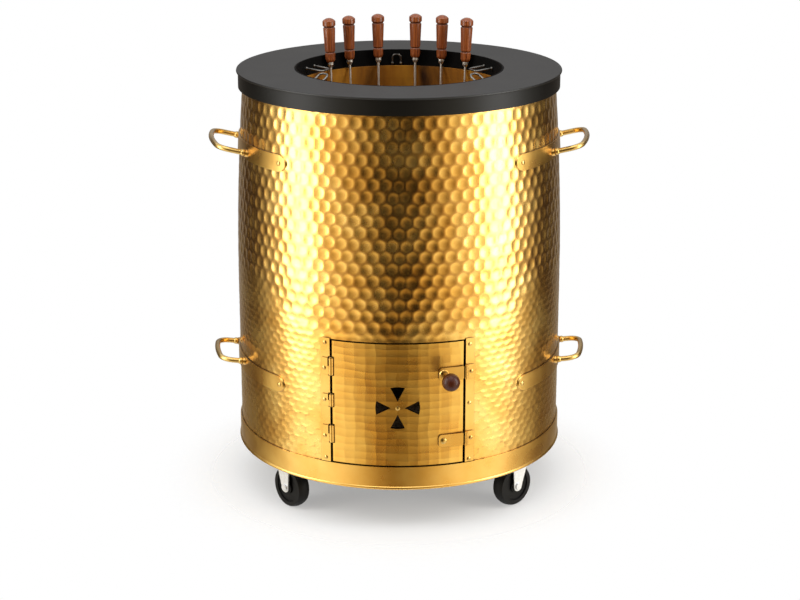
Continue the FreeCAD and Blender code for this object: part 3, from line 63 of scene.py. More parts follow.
# the door's opening in it; 87 of the sheet's 675 columns span it exactly
door_turn = math.radians(-0.45)
opening_half = math.radians(23.2)
opening_head_z = 359.4 * mm
sheet_columns = 675
opening_columns = 87
sheet_row = 2.7 * mm

# hammer marks: round ones above, small oblong ones beside the door
dish_count = 84
dish_row = 21.4 * mm
dish_r = 11.2 * mm
dish_depth = 1.1 * mm
mark_count = 96
mark_row = 11.8 * mm
mark_half_w, mark_half_h = 13.0 * mm, 7.6 * mm
mark_depth = 0.62 * mm
# how far a mark strays, as a share of its pitch, and how hard the blow is, as a share of its depth
dish_stray, mark_stray = 0.16, 0.22
least_blow, blow_spread = 0.82, 0.35
door_mark_w, door_mark_h = 19.0 * mm, 14.0 * mm
door_mark_depth = 0.24 * mm
# the round ones end lower at the front than at the sides
change_front_z, change_side_z, change_band = 368 * mm, 440 * mm, 40 * mm
change_angles = math.radians(24), math.radians(62)

# camera
image_w, image_h = 800, 600
focal_px = 1858
camera_at = (1.7 * mm, -3.4, 1.402)
camera_pitch = math.radians(17.28)

# the studio's wall, and the heights between which its upper colours give way to the lower ones
wall_r, wall_foot_z, wall_head_z = 5.0, -4.5, 3.2
wall_strength = 1.4
wall_change = -0.9, -1.6
# its colours by azimuth from -Y, in degrees
wall_above = (
    (-180, "#8C8A88"), (-162, "#7C7874"), (-148, "#6A6258"), (-130, "#271B0D"), (-112, "#2C2010"),
    (-94, "#AEA48E"), (-52, "#EADFC4"), (-38, "#BCA882"), (-22, "#7A653E"), (-12, "#302208"),
    (-5, "#0A0601"), (5, "#0A0601"), (12, "#30220A"), (22, "#80683E"), (38, "#CCBA94"),
    (52, "#F4EAD0"), (94, "#AEA48E"), (112, "#2C2010"), (130, "#271B0D"), (148, "#6A6258"),
    (162, "#7C7874"), (180, "#8C8A88"),
)
wall_below = (
    (-180, "#B0A898"), (-150, "#6C604E"), (-118, "#54442A"), (-94, "#9E9070"), (-74, "#FFFAEC"),
    (-40, "#FFF4DC"), (-26, "#D0BC90"), (-12, "#8E7648"), (-3, "#6E5A34"),
    (3, "#6E5A34"), (12, "#907A4C"), (26, "#D2C09A"), (40, "#F4E8CC"), (74, "#FFFAEC"),
    (94, "#9E9070"), (118, "#54442A"), (150, "#6C604E"), (180, "#B0A898"),
)

# the softboxes aim no higher than this
highest_aim_z = 1.1

# floor: solid under the drum, then fading into the white room
floor_r = 1.2
floor_fade = 220 * mm, 480 * mm
floor_clear = 0.34

# how far painted shade reaches out of a corner in brass, and out of a groove in wood
painted_shade_reach = 8 * mm
groove_shade_reach = 5 * mm


# ---------------------------------------------------------------- helpers

def linear(code):
    """Linear RGBA of an sRGB hex colour."""
    parts = [int(code[i:i + 2], 16) / 255 for i in (1, 3, 5)]
    return [p / 12.92 if p <= 0.04045 else ((p + 0.055) / 1.055) ** 2.4 for p in parts] + [1]


def add_node(tree, kind, inputs=None, stops=None, **settings):
    """Adds a node with its settings. An input is a value, or a node or socket to link."""
    node = tree.nodes.new(kind)
    for setting, value in settings.items():
        setattr(node, setting, value)
    for socket, value in (inputs or {}).items():
        if isinstance(value, bpy.types.Node):
            value = value.outputs[0]
        if isinstance(value, bpy.types.NodeSocket):
            tree.links.new(value, node.inputs[socket])
        else:
            node.inputs[socket].default_value = value
    if stops:
        elements = node.color_ramp.elements
        while len(elements) < len(stops):
            elements.new(1)
        for element, (place, code) in zip(elements, stops):
            element.position = place
            element.color = linear(code)
    return node


def new_material(name, **values):
    """A material with a Principled shader, whose constant values are set on its own sockets."""
    material = bpy.data.materials.new(name)
    material.use_nodes = True
    tree = material.node_tree
    shader = tree.nodes["Principled BSDF"]
    for socket, value in values.items():
        shader.inputs[socket.replace("_", " ")].default_value = value
    here = add_node(tree, "ShaderNodeTexCoord").outputs["Object"]
    return material, tree, shader, here


def link(tree, source, shader, socket):
    """Links a node's first output, or a socket, to an input of the shader."""
    if isinstance(source, bpy.types.Node):
        source = source.outputs[0]
    tree.links.new(source, shader.inputs[socket])


def piece(name, mesh):
    """A new object in the scene, at the origin."""
    thing = bpy.data.objects.new(name, mesh)
    bpy.context.scene.collection.objects.link(thing)
    return thing


# ---------------------------------------------------------------- camera, lights and floor

def camera():
    data = bpy.data.cameras.new("camera")
    data.sensor_width = 36
    data.lens = focal_px / image_w * data.sensor_width
    data.clip_end = 50
    eye = piece("camera", data)
    eye.location = camera_at
    eye.rotation_euler = (math.pi / 2 - camera_pitch, 0, 0)
    bpy.context.scene.camera = eye


def softbox(name, azimuth, distance, height, width, tall, radiance):
    """A studio softbox that faces the drum. Azimuth is in degrees from -Y towards +X."""
    data = bpy.data.lights.new(name, "AREA")
    data.shape = "RECTANGLE"
    data.size, data.size_y = width, tall
    data.energy = math.pi * radiance * width * tall
    lamp = piece(name, data)
    turn = math.radians(azimuth)
    place = Vector((math.sin(turn) * distance, -math.cos(turn) * distance, height))
    lamp.location = place
    # aimed level at the drum's axis, or from overhead at a point above the mouth
    target = Vector((0, 0, min(height, highest_aim_z)))
    lamp.rotation_euler = (target - place).to_track_quat("-Z", "Y").to_euler()


def lights():
    for name, azimuth in (("left_softbox", -68), ("right_softbox", 68)):
        softbox(name, azimuth, distance=1.75, height=0.95, width=0.72, tall=2.1, radiance=4.6)
    softbox("overhead_softbox", 0, distance=0.7, height=2.9, width=2.0, tall=2.0, radiance=1.5)


def room():
    """White all round, also in mirrors and glass; a little dimmer as light on matt things."""
    world = bpy.data.worlds.new("studio")
    bpy.context.scene.world = world
    world.use_nodes = True
    tree = world.node_tree
    tree.nodes.clear()
    ray = add_node(tree, "ShaderNodeLightPath").outputs
    seen = ray["Is Camera Ray"]
    for kind in ("Is Glossy Ray", "Is Transmission Ray"):
        seen = add_node(tree, "ShaderNodeMath", {0: seen, 1: ray[kind]}, operation="MAXIMUM")
    strength = add_node(tree, "ShaderNodeMapRange", {"Value": seen, "To Min": 0.6, "To Max": 1.0})
    shade = add_node(tree, "ShaderNodeBackground", {"Color": (1, 1, 1, 1), "Strength": strength})
    add_node(tree, "ShaderNodeOutputWorld", {"Surface": shade})


def round_mesh(name, radius, low=None, high=None):
    """A disc, or an open cylinder where it is given two heights."""
    sheet = bpy.data.meshes.new(name)
    form = bmesh.new()
    if low is None:
        bmesh.ops.create_circle(form, cap_ends=True, segments=96, radius=radius)
    else:
        bmesh.ops.create_cone(form, segments=96, radius1=radius, radius2=radius, depth=high - low)
        bmesh.ops.translate(form, verts=form.verts, vec=(0, 0, (high + low) / 2))
    form.to_mesh(sheet)
    form.free()
    return sheet


def studio_wall():
    """The studio's walls, out of the camera's sight: the brass mirrors them as its bands.

    Dark behind the camera and beside the drum, lit beside the softboxes, paler near the floor.
    """
    wall = piece("studio_wall", round_mesh("studio_wall", wall_r, wall_foot_z, wall_head_z))
    wall.visible_camera = False
    material = bpy.data.materials.new("studio_wall_paint")
    material.use_nodes = True
    tree = material.node_tree
    tree.nodes.clear()
    here = add_node(tree, "ShaderNodeTexCoord").outputs["Object"]
    part = add_node(tree, "ShaderNodeSeparateXYZ", {0: here}).outputs
    ahead = add_node(tree, "ShaderNodeMath", {0: part["Y"], 1: -1.0}, operation="MULTIPLY")
    azimuth = add_node(tree, "ShaderNodeMath", {0: part["X"], 1: ahead}, operation="ARCTAN2")
    share = add_node(tree, "ShaderNodeMapRange", {
        "Value": azimuth, "From Min": -math.pi, "From Max": math.pi})
    bands = []
    for stops in (wall_above, wall_below):
        places = [((angle + 180) / 360, code) for angle, code in stops]
        bands.append(add_node(tree, "ShaderNodeValToRGB", {"Fac": share}, stops=places))
    low = add_node(tree, "ShaderNodeMapRange", {
        "Value": part["Z"], "From Min": wall_change[0], "From Max": wall_change[1]},
        interpolation_type="SMOOTHSTEP")
    paint = add_node(tree, "ShaderNodeMix", {0: low, 6: bands[0], 7: bands[1]}, data_type="RGBA")
    shade = add_node(tree, "ShaderNodeEmission", {"Color": paint.outputs[2], "Strength": wall_strength})
    add_node(tree, "ShaderNodeOutputMaterial", {"Surface": shade})
    wall.data.materials.append(material)


def floor():
    """A pale round floor that fades into the white backdrop."""
    ground = piece("floor", round_mesh("floor", floor_r))
    ground.location.z = -0.5 * mm
    material = bpy.data.materials.new("white_floor_paint")
    material.use_nodes = True
    tree = material.node_tree
    tree.nodes.clear()
    here = add_node(tree, "ShaderNodeTexCoord").outputs["Object"]
    away = add_node(tree, "ShaderNodeVectorMath", {0: here}, operation="LENGTH").outputs["Value"]
    fade = add_node(tree, "ShaderNodeMapRange", {
        "Value": away, "From Min": floor_fade[0], "From Max": floor_fade[1], "To Min": floor_clear},
        interpolation_type="SMOOTHSTEP")
    paint = add_node(tree, "ShaderNodeBsdfDiffuse", {"Color": linear("#F6F6F6")})
    clear = add_node(tree, "ShaderNodeBsdfTransparent")
    mixed = add_node(tree, "ShaderNodeMixShader", {0: fade, 1: paint, 2: clear})
    add_node(tree, "ShaderNodeOutputMaterial", {"Surface": mixed})
    ground.data.materials.append(material)


# ---------------------------------------------------------------- finishes

def lacquered_brass(name, low, high, roughness, marks=None):
    """Brass sheet under clear lacquer: warm gloss, with brown painted shade in the corners where pieces
    meet.

    Marks may be a function that takes the tree, the place and the tone, and gives a tone and a height.
    """
    material, tree, shader, here = new_material(
        name, Metallic=1.0, Coat_Weight=1.0, Coat_Roughness=0.26, Coat_IOR=1.5)
    # clouds in the tone and gloss, about 60 mm from one to the next
    clouds = add_node(tree, "ShaderNodeTexNoise", {"Vector": here, "Scale": 16.0, "Detail": 4.0})
    tone = add_node(tree, "ShaderNodeValToRGB", {"Fac": clouds}, stops=[(0.32, low), (0.68, high)])
    if marks:
        tone, height = marks(tree, here, tone)
        if height:
            bump = add_node(tree, "ShaderNodeBump", {
                "Height": height, "Distance": door_mark_depth, "Strength": 1.0})
            link(tree, bump, shader, "Normal")
    # painted shade: ambient occlusion darkens the brass towards brown in corners and crevices
    corner = add_node(tree, "ShaderNodeAmbientOcclusion", {"Distance": painted_shade_reach}, samples=12)
    painted_corner_shade = add_node(tree, "ShaderNodeMapRange", {
        "Value": corner.outputs["AO"], "From Min": 0.4, "From Max": 0.86, "To Min": 1.0, "To Max": 0.0})
    tone = add_node(tree, "ShaderNodeMix", {0: painted_corner_shade, 6: tone, 7: linear("#3E2004")}, data_type="RGBA")
    link(tree, tone.outputs[2], shader, "Base Color")
    gloss = add_node(tree, "ShaderNodeMapRange", {
        "Value": clouds, "From Min": 0.3, "From Max": 0.7, "To Min": roughness[0],
        "To Max": roughness[1]})
    link(tree, gloss, shader, "Roughness")
    return material


def marks_with_painted_rim_shade(tree, here, tone):
    """The drum's marks keep the sheet's tone in their bottoms, and their rims get a brown painted shade.
    """
    depth = add_node(tree, "ShaderNodeAttribute", attribute_name="hammered").outputs["Fac"]
    painted_rim_shade = add_node(tree, "ShaderNodeMapRange", {
        "Value": depth, "From Min": 0.0, "From Max": 0.4, "To Min": 0.5, "To Max": 0.0})
    # painted shade: the land between the marks is mixed halfway towards brown, fading out a little way
    # into each mark
    blend = add_node(tree, "ShaderNodeMix", {0: painted_rim_shade, 6: tone, 7: linear("#A8701F")}, data_type="RGBA")
    return blend.outputs[2], None


def door_marks(tree, here, tone):
    """The door's shallow marks stand in columns, 19 mm wide and 14 mm tall, each with its own shade."""
    part = add_node(tree, "ShaderNodeSeparateXYZ", {0: here}).outputs
    ahead = add_node(tree, "ShaderNodeMath", {0: part["Y"], 1: -1.0}, operation="MULTIPLY")
    turn = add_node(tree, "ShaderNodeMath", {0: part["X"], 1: ahead}, operation="ARCTAN2")
    along = add_node(tree, "ShaderNodeMath", {0: turn, 1: barrel_r / door_mark_w}, operation="MULTIPLY")
    up = add_node(tree, "ShaderNodeMath", {0: part["Z"], 1: 1 / door_mark_h}, operation="MULTIPLY")
    place = add_node(tree, "ShaderNodeCombineXYZ", {0: along, 1: up})
    # the hammer strays by a fifth of a mark, to and fro every 33 mm
    sway = add_node(tree, "ShaderNodeTexNoise", {"Vector": here, "Scale": 30.0, "Detail": 0.0})
    place = add_node(tree, "ShaderNodeVectorMath", {
        0: sway.outputs["Color"], 1: (0.4, 0.4, 0.0), 2: place}, operation="MULTIPLY_ADD")
    cell = add_node(tree, "ShaderNodeVectorMath", {0: place}, operation="FLOOR")
    shade = add_node(tree, "ShaderNodeTexWhiteNoise", {"Vector": cell}, noise_dimensions="2D")
    middle = add_node(tree, "ShaderNodeVectorMath", {0: cell, 1: (0.5, 0.5, 0.0)}, operation="ADD")
    # a bowl: its height grows with the square of the way from the middle
    away = add_node(tree, "ShaderNodeVectorMath", {0: place, 1: middle}, operation="SUBTRACT")
    away = add_node(tree, "ShaderNodeVectorMath", {0: away, 1: (1.7, 1.7, 0.0)}, operation="MULTIPLY")
    reach = add_node(tree, "ShaderNodeVectorMath", {0: away, 1: away}, operation="DOT_PRODUCT")
    column = add_node(tree, "ShaderNodeTexWhiteNoise", {
        "W": add_node(tree, "ShaderNodeMath", {0: along}, operation="FLOOR")}, noise_dimensions="1D")
    both = add_node(tree, "ShaderNodeMath", {
        0: shade.outputs["Value"], 1: column.outputs["Value"]}, operation="ADD")
    tint = add_node(tree, "ShaderNodeValToRGB", {"Fac": both},
                    stops=[(0.2, "#EFE8D8"), (1.0, "#FFFFFF")])
    tone = add_node(tree, "ShaderNodeMix", {0: 1.0, 6: tone, 7: tint},
                    data_type="RGBA", blend_type="MULTIPLY")
    return tone.outputs[2], reach.outputs["Value"]


def stove_enamel(name, low, high, shine):
    """Heat-proof black paint, sprayed and stoved: satin, with a faint orange peel."""
    material, tree, shader, here = new_material(name, Metallic=0.0, Specular_IOR_Level=shine)
    # thumbed and wiped patches, about 110 mm across
    dust = add_node(tree, "ShaderNodeTexNoise", {"Vector": here, "Scale": 9.0, "Detail": 5.0})
    tone = add_node(tree, "ShaderNodeValToRGB", {"Fac": dust}, stops=[(0.3, low), (0.75, high)])
    link(tree, tone, shader, "Base Color")
    gloss = add_node(tree, "ShaderNodeMapRange", {"Value": dust, "To Min": 0.36, "To Max": 0.5})
    link(tree, gloss, shader, "Roughness")
    # orange peel, about 1.5 mm from bump to bump
    peel = add_node(tree, "ShaderNodeTexNoise", {"Vector": here, "Scale": 650.0, "Detail": 2.0})
    bump = add_node(tree, "ShaderNodeBump", {"Height": peel, "Distance": 0.06 * mm, "Strength": 0.5})
    link(tree, bump, shader, "Normal")
    return material


def drawn_steel(name, low, high, roughness):
    """Stainless wire and rod as it is drawn: satin, mottled every 3 mm by the die and the heat."""
    material, tree, shader, here = new_material(name, Metallic=1.0)
    mottle = add_node(tree, "ShaderNodeTexNoise", {"Vector": here, "Scale": 300.0, "Detail": 3.0})
    tone = add_node(tree, "ShaderNodeValToRGB", {"Fac": mottle}, stops=[(0.3, low), (0.7, high)])
    link(tree, tone, shader, "Base Color")
    gloss = add_node(tree, "ShaderNodeMapRange", {
        "Value": mottle, "To Min": roughness[0], "To Max": roughness[1]})
    link(tree, gloss, shader, "Roughness")
    return material


def zinc_plate():
    """Pressed steel with bright zinc plating: cool grey and softly mottled."""
    material, tree, shader, here = new_material("zinc_plate", Metallic=1.0)
    # 4 mm spangles in 17 mm clouds
    spangle = add_node(tree, "ShaderNodeTexVoronoi", {"Vector": here, "Scale": 260.0, "Randomness": 1.0})
    cloud = add_node(tree, "ShaderNodeTexNoise", {"Vector": here, "Scale": 60.0, "Detail": 4.0})
    blend = add_node(tree, "ShaderNodeMath", {
        0: spangle.outputs["Distance"], 1: cloud}, operation="MULTIPLY")
    tone = add_node(tree, "ShaderNodeValToRGB", {"Fac": blend},
                    stops=[(0.0, "#DDE0E4"), (0.6, "#F4F5F7")])
    link(tree, tone, shader, "Base Color")
    gloss = add_node(tree, "ShaderNodeMapRange", {"Value": cloud, "To Min": 0.42, "To Max": 0.58})
    link(tree, gloss, shader, "Roughness")
    return material


def fired_clay():
    """Hand-smoothed fired clay: matt amber with dark vertical runs of painted shadow, and finger ridges.
    """
    material, tree, shader, here = new_material("fired_clay", Roughness=0.85, Specular_IOR_Level=0.3)
    # dark runs of painted shadow, 60 mm wide and ten times as long, over finger ridges 11 mm high
    runs = add_node(tree, "ShaderNodeMapping", {"Vector": here, "Scale": (16.0, 16.0, 1.6)})
    shadow_runs = add_node(tree, "ShaderNodeTexNoise", {"Vector": runs, "Scale": 1.0, "Detail": 5.0})
    tone = add_node(tree, "ShaderNodeValToRGB", {"Fac": shadow_runs},
                    stops=[(0.34, "#3E230C"), (0.5, "#A66A1C"), (0.66, "#CC8E2C")])
    link(tree, tone, shader, "Base Color")
    rings = add_node(tree, "ShaderNodeMapping", {"Vector": here, "Scale": (6.0, 6.0, 90.0)})
    ridges = add_node(tree, "ShaderNodeTexNoise", {"Vector": rings, "Scale": 1.0, "Detail": 4.0})
    bump = add_node(tree, "ShaderNodeBump", {"Height": ridges, "Distance": 1.5 * mm, "Strength": 0.7})
    link(tree, bump, shader, "Normal")
    return material


def rough_matt(name, low, high, grain, depth):
    """Cast refractory, cast iron, mineral wool and sooted sheet: matt, with grains and pits all over."""
    material, tree, shader, here = new_material(name, Roughness=0.9, Specular_IOR_Level=0.15)
    grit = add_node(tree, "ShaderNodeTexNoise", {"Vector": here, "Scale": 1 / grain, "Detail": 6.0})
    tone = add_node(tree, "ShaderNodeValToRGB", {"Fac": grit}, stops=[(0.3, low), (0.7, high)])
    link(tree, tone, shader, "Base Color")
    bump = add_node(tree, "ShaderNodeBump", {"Height": grit, "Distance": depth, "Strength": 0.8})
    link(tree, bump, shader, "Normal")
    return material


def moulded_rubber():
    """Black castor rubber: matt, with patches of dust, and a fine moulded skin."""
    material, tree, shader, here = new_material("moulded_rubber", Metallic=0.0, Specular_IOR_Level=0.25)
    # dust in patches of 22 mm, on a skin of 1 mm grains
    dust = add_node(tree, "ShaderNodeTexNoise", {"Vector": here, "Scale": 45.0, "Detail": 5.0})
    tone = add_node(tree, "ShaderNodeValToRGB", {"Fac": dust},
                    stops=[(0.35, "#040404"), (0.75, "#0C0C0D")])
    link(tree, tone, shader, "Base Color")
    gloss = add_node(tree, "ShaderNodeMapRange", {"Value": dust, "To Min": 0.42, "To Max": 0.66})
    link(tree, gloss, shader, "Roughness")
    skin = add_node(tree, "ShaderNodeTexNoise", {"Vector": here, "Scale": 900.0})
    bump = add_node(tree, "ShaderNodeBump", {"Height": skin, "Distance": 0.08 * mm, "Strength": 0.5})
    link(tree, bump, shader, "Normal")
    return material


def turned_wood(name, low, high, coat):
    """Stained, varnished hardwood turned on a lathe: straight grain, with painted shade darkening the
    grooves.
    """
    material, tree, shader, here = new_material(
        name, Coat_Weight=coat, Coat_Roughness=0.16, Coat_IOR=1.5, Specular_IOR_Level=0.25)
    # grain 2.4 mm across and 45 mm long: coarser than beech, so that it shows
    along = add_node(tree, "ShaderNodeMapping", {"Vector": here, "Scale": (420.0, 420.0, 22.0)})
    grain = add_node(tree, "ShaderNodeTexNoise", {
        "Vector": along, "Scale": 1.0, "Detail": 5.0, "Distortion": 0.4})
    tone = add_node(tree, "ShaderNodeValToRGB", {"Fac": grain}, stops=[(0.32, low), (0.68, high)])
    # painted shade: ambient occlusion darkens the grooves towards a near-black brown
    groove = add_node(tree, "ShaderNodeAmbientOcclusion", {"Distance": groove_shade_reach}, samples=12)
    painted_groove_shade = add_node(tree, "ShaderNodeMapRange", {
        "Value": groove.outputs["AO"], "From Min": 0.55, "From Max": 0.97, "To Min": 1.0, "To Max": 0.0})
    tone = add_node(tree, "ShaderNodeMix", {0: painted_groove_shade, 6: tone, 7: linear("#1C0802")}, data_type="RGBA")
    link(tree, tone.outputs[2], shader, "Base Color")
    gloss = add_node(tree, "ShaderNodeMapRange", {"Value": grain, "To Min": 0.36, "To Max": 0.5})
    link(tree, gloss, shader, "Roughness")
    bump = add_node(tree, "ShaderNodeBump", {"Height": grain, "Distance": 0.2 * mm, "Strength": 0.5})
    link(tree, bump, shader, "Normal")
    return material


# ---------------------------------------------------------------- the hammered drum

def hammered_sheet_tree(material):
    """Geometry nodes: a flat sheet of angle and height, dished by the hammer and rolled into the drum.

    The sheet has two bands: the lower one stops at the door's opening, the upper one goes all round.
    """
    tree = bpy.data.node_groups.new("hammered_sheet", "GeometryNodeTree")
    for kind, labels in (
            ("Int", ("Lower columns", "Upper columns", "Lower rows", "Upper rows")),
            ("Float", ("Start", "Lower end", "Upper end", "Foot", "Opening head", "Head", "Barrel radius",
                       "Shoulder height", "Crown height", "Crown drop", "Dish depth", "Mark depth",
                       "Thickness"))):
        for label in labels:
            tree.interface.new_socket(label, in_out="INPUT", socket_type=f"NodeSocket{kind}")
    tree.interface.new_socket("Geometry", in_out="OUTPUT", socket_type="NodeSocketGeometry")
    sizes = add_node(tree, "NodeGroupInput").outputs

    # the flat sheet: X is the angle from the front, Y the height
    sheet = add_node(tree, "GeometryNodeJoinGeometry")
    for band, bottom, top in (("Lower", "Foot", "Opening head"), ("Upper", "Opening head", "Head")):
        grid = add_node(tree, "GeometryNodeMeshGrid", {
            "Size X": 1.0, "Size Y": 1.0, "Vertices X": sizes[f"{band} columns"],
            "Vertices Y": sizes[f"{band} rows"]})
        flat = add_node(tree, "ShaderNodeSeparateXYZ", {
            0: add_node(tree, "GeometryNodeInputPosition")}).outputs
        angle = add_node(tree, "ShaderNodeMapRange", {
            "Value": flat["X"], "From Min": -0.5, "From Max": 0.5, "To Min": sizes["Start"],
            "To Max": sizes[f"{band} end"]})
        height = add_node(tree, "ShaderNodeMapRange", {
            "Value": flat["Y"], "From Min": -0.5, "From Max": 0.5, "To Min": sizes[bottom],
            "To Max": sizes[top]})
        laid = add_node(tree, "GeometryNodeSetPosition", {
            "Geometry": grid, "Position": add_node(tree, "ShaderNodeCombineXYZ", {0: angle, 1: height})})
        tree.links.new(laid.outputs[0], sheet.inputs[0])

    # the marks: two staggered sets of cells, and each mark strays a little and has its own depth
    here = add_node(tree, "GeometryNodeInputPosition")
    hollows = []
    for count, row, half_w, half_h, stray in (
            (dish_count, dish_row, dish_r, dish_r, dish_stray),
            (mark_count, mark_row, mark_half_w, mark_half_h, mark_stray)):
        cells = add_node(tree, "ShaderNodeVectorMath", {
            0: here, 1: (count / (2 * math.pi), 0.5 / row, 0)}, operation="MULTIPLY")
        pitch = 2 * math.pi * barrel_r / count
        sets = []
        for shift in (0.5, 0.0):
            cell = add_node(tree, "ShaderNodeVectorMath", {
                0: cells, 1: (shift, shift, 0)}, operation="ADD")
            cell = add_node(tree, "ShaderNodeVectorMath", {0: cell}, operation="FLOOR")
            centre = add_node(tree, "ShaderNodeVectorMath", {
                0: cell, 1: (0.5 - shift, 0.5 - shift, 0)}, operation="ADD")
            # the same chance on both sides of the seam
            seed = add_node(tree, "ShaderNodeVectorMath", {
                0: centre, 1: (count, 1000, 1), 2: (0, -1000, 0)}, operation="WRAP")
            chance = add_node(tree, "ShaderNodeTexWhiteNoise", {"Vector": seed}, noise_dimensions="3D")
            moved = add_node(tree, "ShaderNodeVectorMath", {
                0: chance.outputs["Color"], 1: (-0.5, -0.5, 0)}, operation="ADD")
            moved = add_node(tree, "ShaderNodeVectorMath", {
                0: moved, 1: (stray, stray * 0.5, 0), 2: centre}, operation="MULTIPLY_ADD")
            away = add_node(tree, "ShaderNodeVectorMath", {0: cells, 1: moved}, operation="SUBTRACT")
            away = add_node(tree, "ShaderNodeVectorMath", {
                0: away, 1: (pitch / half_w, 2 * row / half_h, 0)}, operation="MULTIPLY")
            reach = add_node(tree, "ShaderNodeVectorMath", {0: away, 1: away}, operation="DOT_PRODUCT")
            blow = add_node(tree, "ShaderNodeMath", {
                0: chance.outputs["Value"], 1: blow_spread, 2: least_blow}, operation="MULTIPLY_ADD")
            hollow = add_node(tree, "ShaderNodeMath", {
                0: 1.0, 1: reach.outputs["Value"]}, operation="SUBTRACT")
            sets.append(add_node(tree, "ShaderNodeMath", {0: hollow, 1: blow}, operation="MULTIPLY"))
        both = add_node(tree, "ShaderNodeMath", {0: sets[0], 1: sets[1]}, operation="MAXIMUM")
        hollows.append(add_node(tree, "ShaderNodeMath", {0: both, 1: 0.0}, operation="MAXIMUM"))

    # where the round marks give way to the oblong ones
    place = add_node(tree, "ShaderNodeSeparateXYZ", {0: here}).outputs
    aside = add_node(tree, "ShaderNodeMath", {0: place["X"], 1: math.pi, 2: -math.pi}, operation="WRAP")
    aside = add_node(tree, "ShaderNodeMath", {0: aside}, operation="ABSOLUTE")
    change = add_node(tree, "ShaderNodeMapRange", {
        "Value": aside, "From Min": change_angles[0], "From Max": change_angles[1],
        "To Min": change_front_z, "To Max": change_side_z}, interpolation_type="SMOOTHSTEP")
    above = add_node(tree, "ShaderNodeMath", {0: place["Y"], 1: change}, operation="SUBTRACT")
    round_share = add_node(tree, "ShaderNodeMapRange", {
        "Value": above, "From Min": -change_band / 2, "From Max": change_band / 2},
        interpolation_type="SMOOTHSTEP")
    oblong_share = add_node(tree, "ShaderNodeMath", {0: 1.0, 1: round_share}, operation="SUBTRACT")
    round_marks = add_node(tree, "ShaderNodeMath", {0: hollows[0], 1: round_share}, operation="MULTIPLY")
    oblong_marks = add_node(tree, "ShaderNodeMath", {
        0: hollows[1], 1: oblong_share}, operation="MULTIPLY")
    marked = add_node(tree, "GeometryNodeStoreNamedAttribute", {
        "Geometry": sheet, "Name": "hammered",
        "Value": add_node(tree, "ShaderNodeMath", {0: round_marks, 1: oblong_marks}, operation="ADD")},
        data_type="FLOAT", domain="POINT")

    # roll it into the barrel: straight to the shoulder, then drawn in along a curve
    rise = add_node(tree, "ShaderNodeMapRange", {
        "Value": place["Y"], "From Min": sizes["Shoulder height"], "From Max": sizes["Crown height"]})
    rise = add_node(tree, "ShaderNodeMath", {0: rise, 1: 2.0}, operation="POWER")
    loss = add_node(tree, "ShaderNodeMath", {0: rise, 1: sizes["Crown drop"]}, operation="MULTIPLY")
    loss = add_node(tree, "ShaderNodeMath", {0: round_marks, 1: sizes["Dish depth"], 2: loss},
                    operation="MULTIPLY_ADD")
    loss = add_node(tree, "ShaderNodeMath", {0: oblong_marks, 1: sizes["Mark depth"], 2: loss},
                    operation="MULTIPLY_ADD")
    radius = add_node(tree, "ShaderNodeMath", {0: sizes["Barrel radius"], 1: loss}, operation="SUBTRACT")
    sine = add_node(tree, "ShaderNodeMath", {0: place["X"]}, operation="SINE")
    cosine = add_node(tree, "ShaderNodeMath", {0: place["X"]}, operation="COSINE")
    across = add_node(tree, "ShaderNodeCombineXYZ", {
        0: add_node(tree, "ShaderNodeMath", {0: radius, 1: sine}, operation="MULTIPLY"),
        1: add_node(tree, "ShaderNodeMath", {0: radius, 1: cosine}, operation="MULTIPLY"),
        2: place["Y"]})
    turned = add_node(tree, "ShaderNodeVectorMath", {0: across, 1: (1, -1, 1)}, operation="MULTIPLY")
    rolled = add_node(tree, "GeometryNodeSetPosition", {"Geometry": marked, "Position": turned})
    seamed = add_node(tree, "GeometryNodeMergeByDistance", {"Geometry": rolled, "Distance": 0.02 * mm})

    # the sheet's own thickness, inwards
    inwards = add_node(tree, "ShaderNodeMath", {0: sizes["Thickness"], 1: -1.0}, operation="MULTIPLY")
    back = add_node(tree, "GeometryNodeExtrudeMesh", {
        "Mesh": seamed, "Individual": False, "Offset Scale": inwards}, mode="FACES")
    flipped = add_node(tree, "GeometryNodeFlipFaces", {"Mesh": back.outputs["Mesh"]})
    both = add_node(tree, "GeometryNodeJoinGeometry")
    tree.links.new(seamed.outputs[0], both.inputs[0])
    tree.links.new(flipped.outputs[0], both.inputs[0])
    closed = add_node(tree, "GeometryNodeMergeByDistance", {"Geometry": both, "Distance": 0.01 * mm})
    smooth = add_node(tree, "GeometryNodeSetShadeSmooth", {"Geometry": closed})
    real = add_node(tree, "GeometryNodeRealizeInstances", {"Geometry": smooth})
    finished = add_node(tree, "GeometryNodeSetMaterial", {"Geometry": real, "Material": material})
    add_node(tree, "NodeGroupOutput", {"Geometry": finished})
    return tree


def grown(name, tree, values):
    """The plain mesh that a geometry tree makes, on an object of that name."""
    thing = piece(name, bpy.data.meshes.new(name))
    modifier = thing.modifiers.new("shape", "NODES")
    modifier.node_group = tree
    for socket in tree.interface.items_tree:
        if socket.in_out == "INPUT" and socket.name in values:
            modifier[socket.identifier] = values[socket.name]
    bpy.context.view_layer.update()
    shape = thing.evaluated_get(bpy.context.evaluated_depsgraph_get())
    mesh = bpy.data.meshes.new_from_object(shape)
    thing.modifiers.remove(modifier)
    thing.data = mesh
    return thing


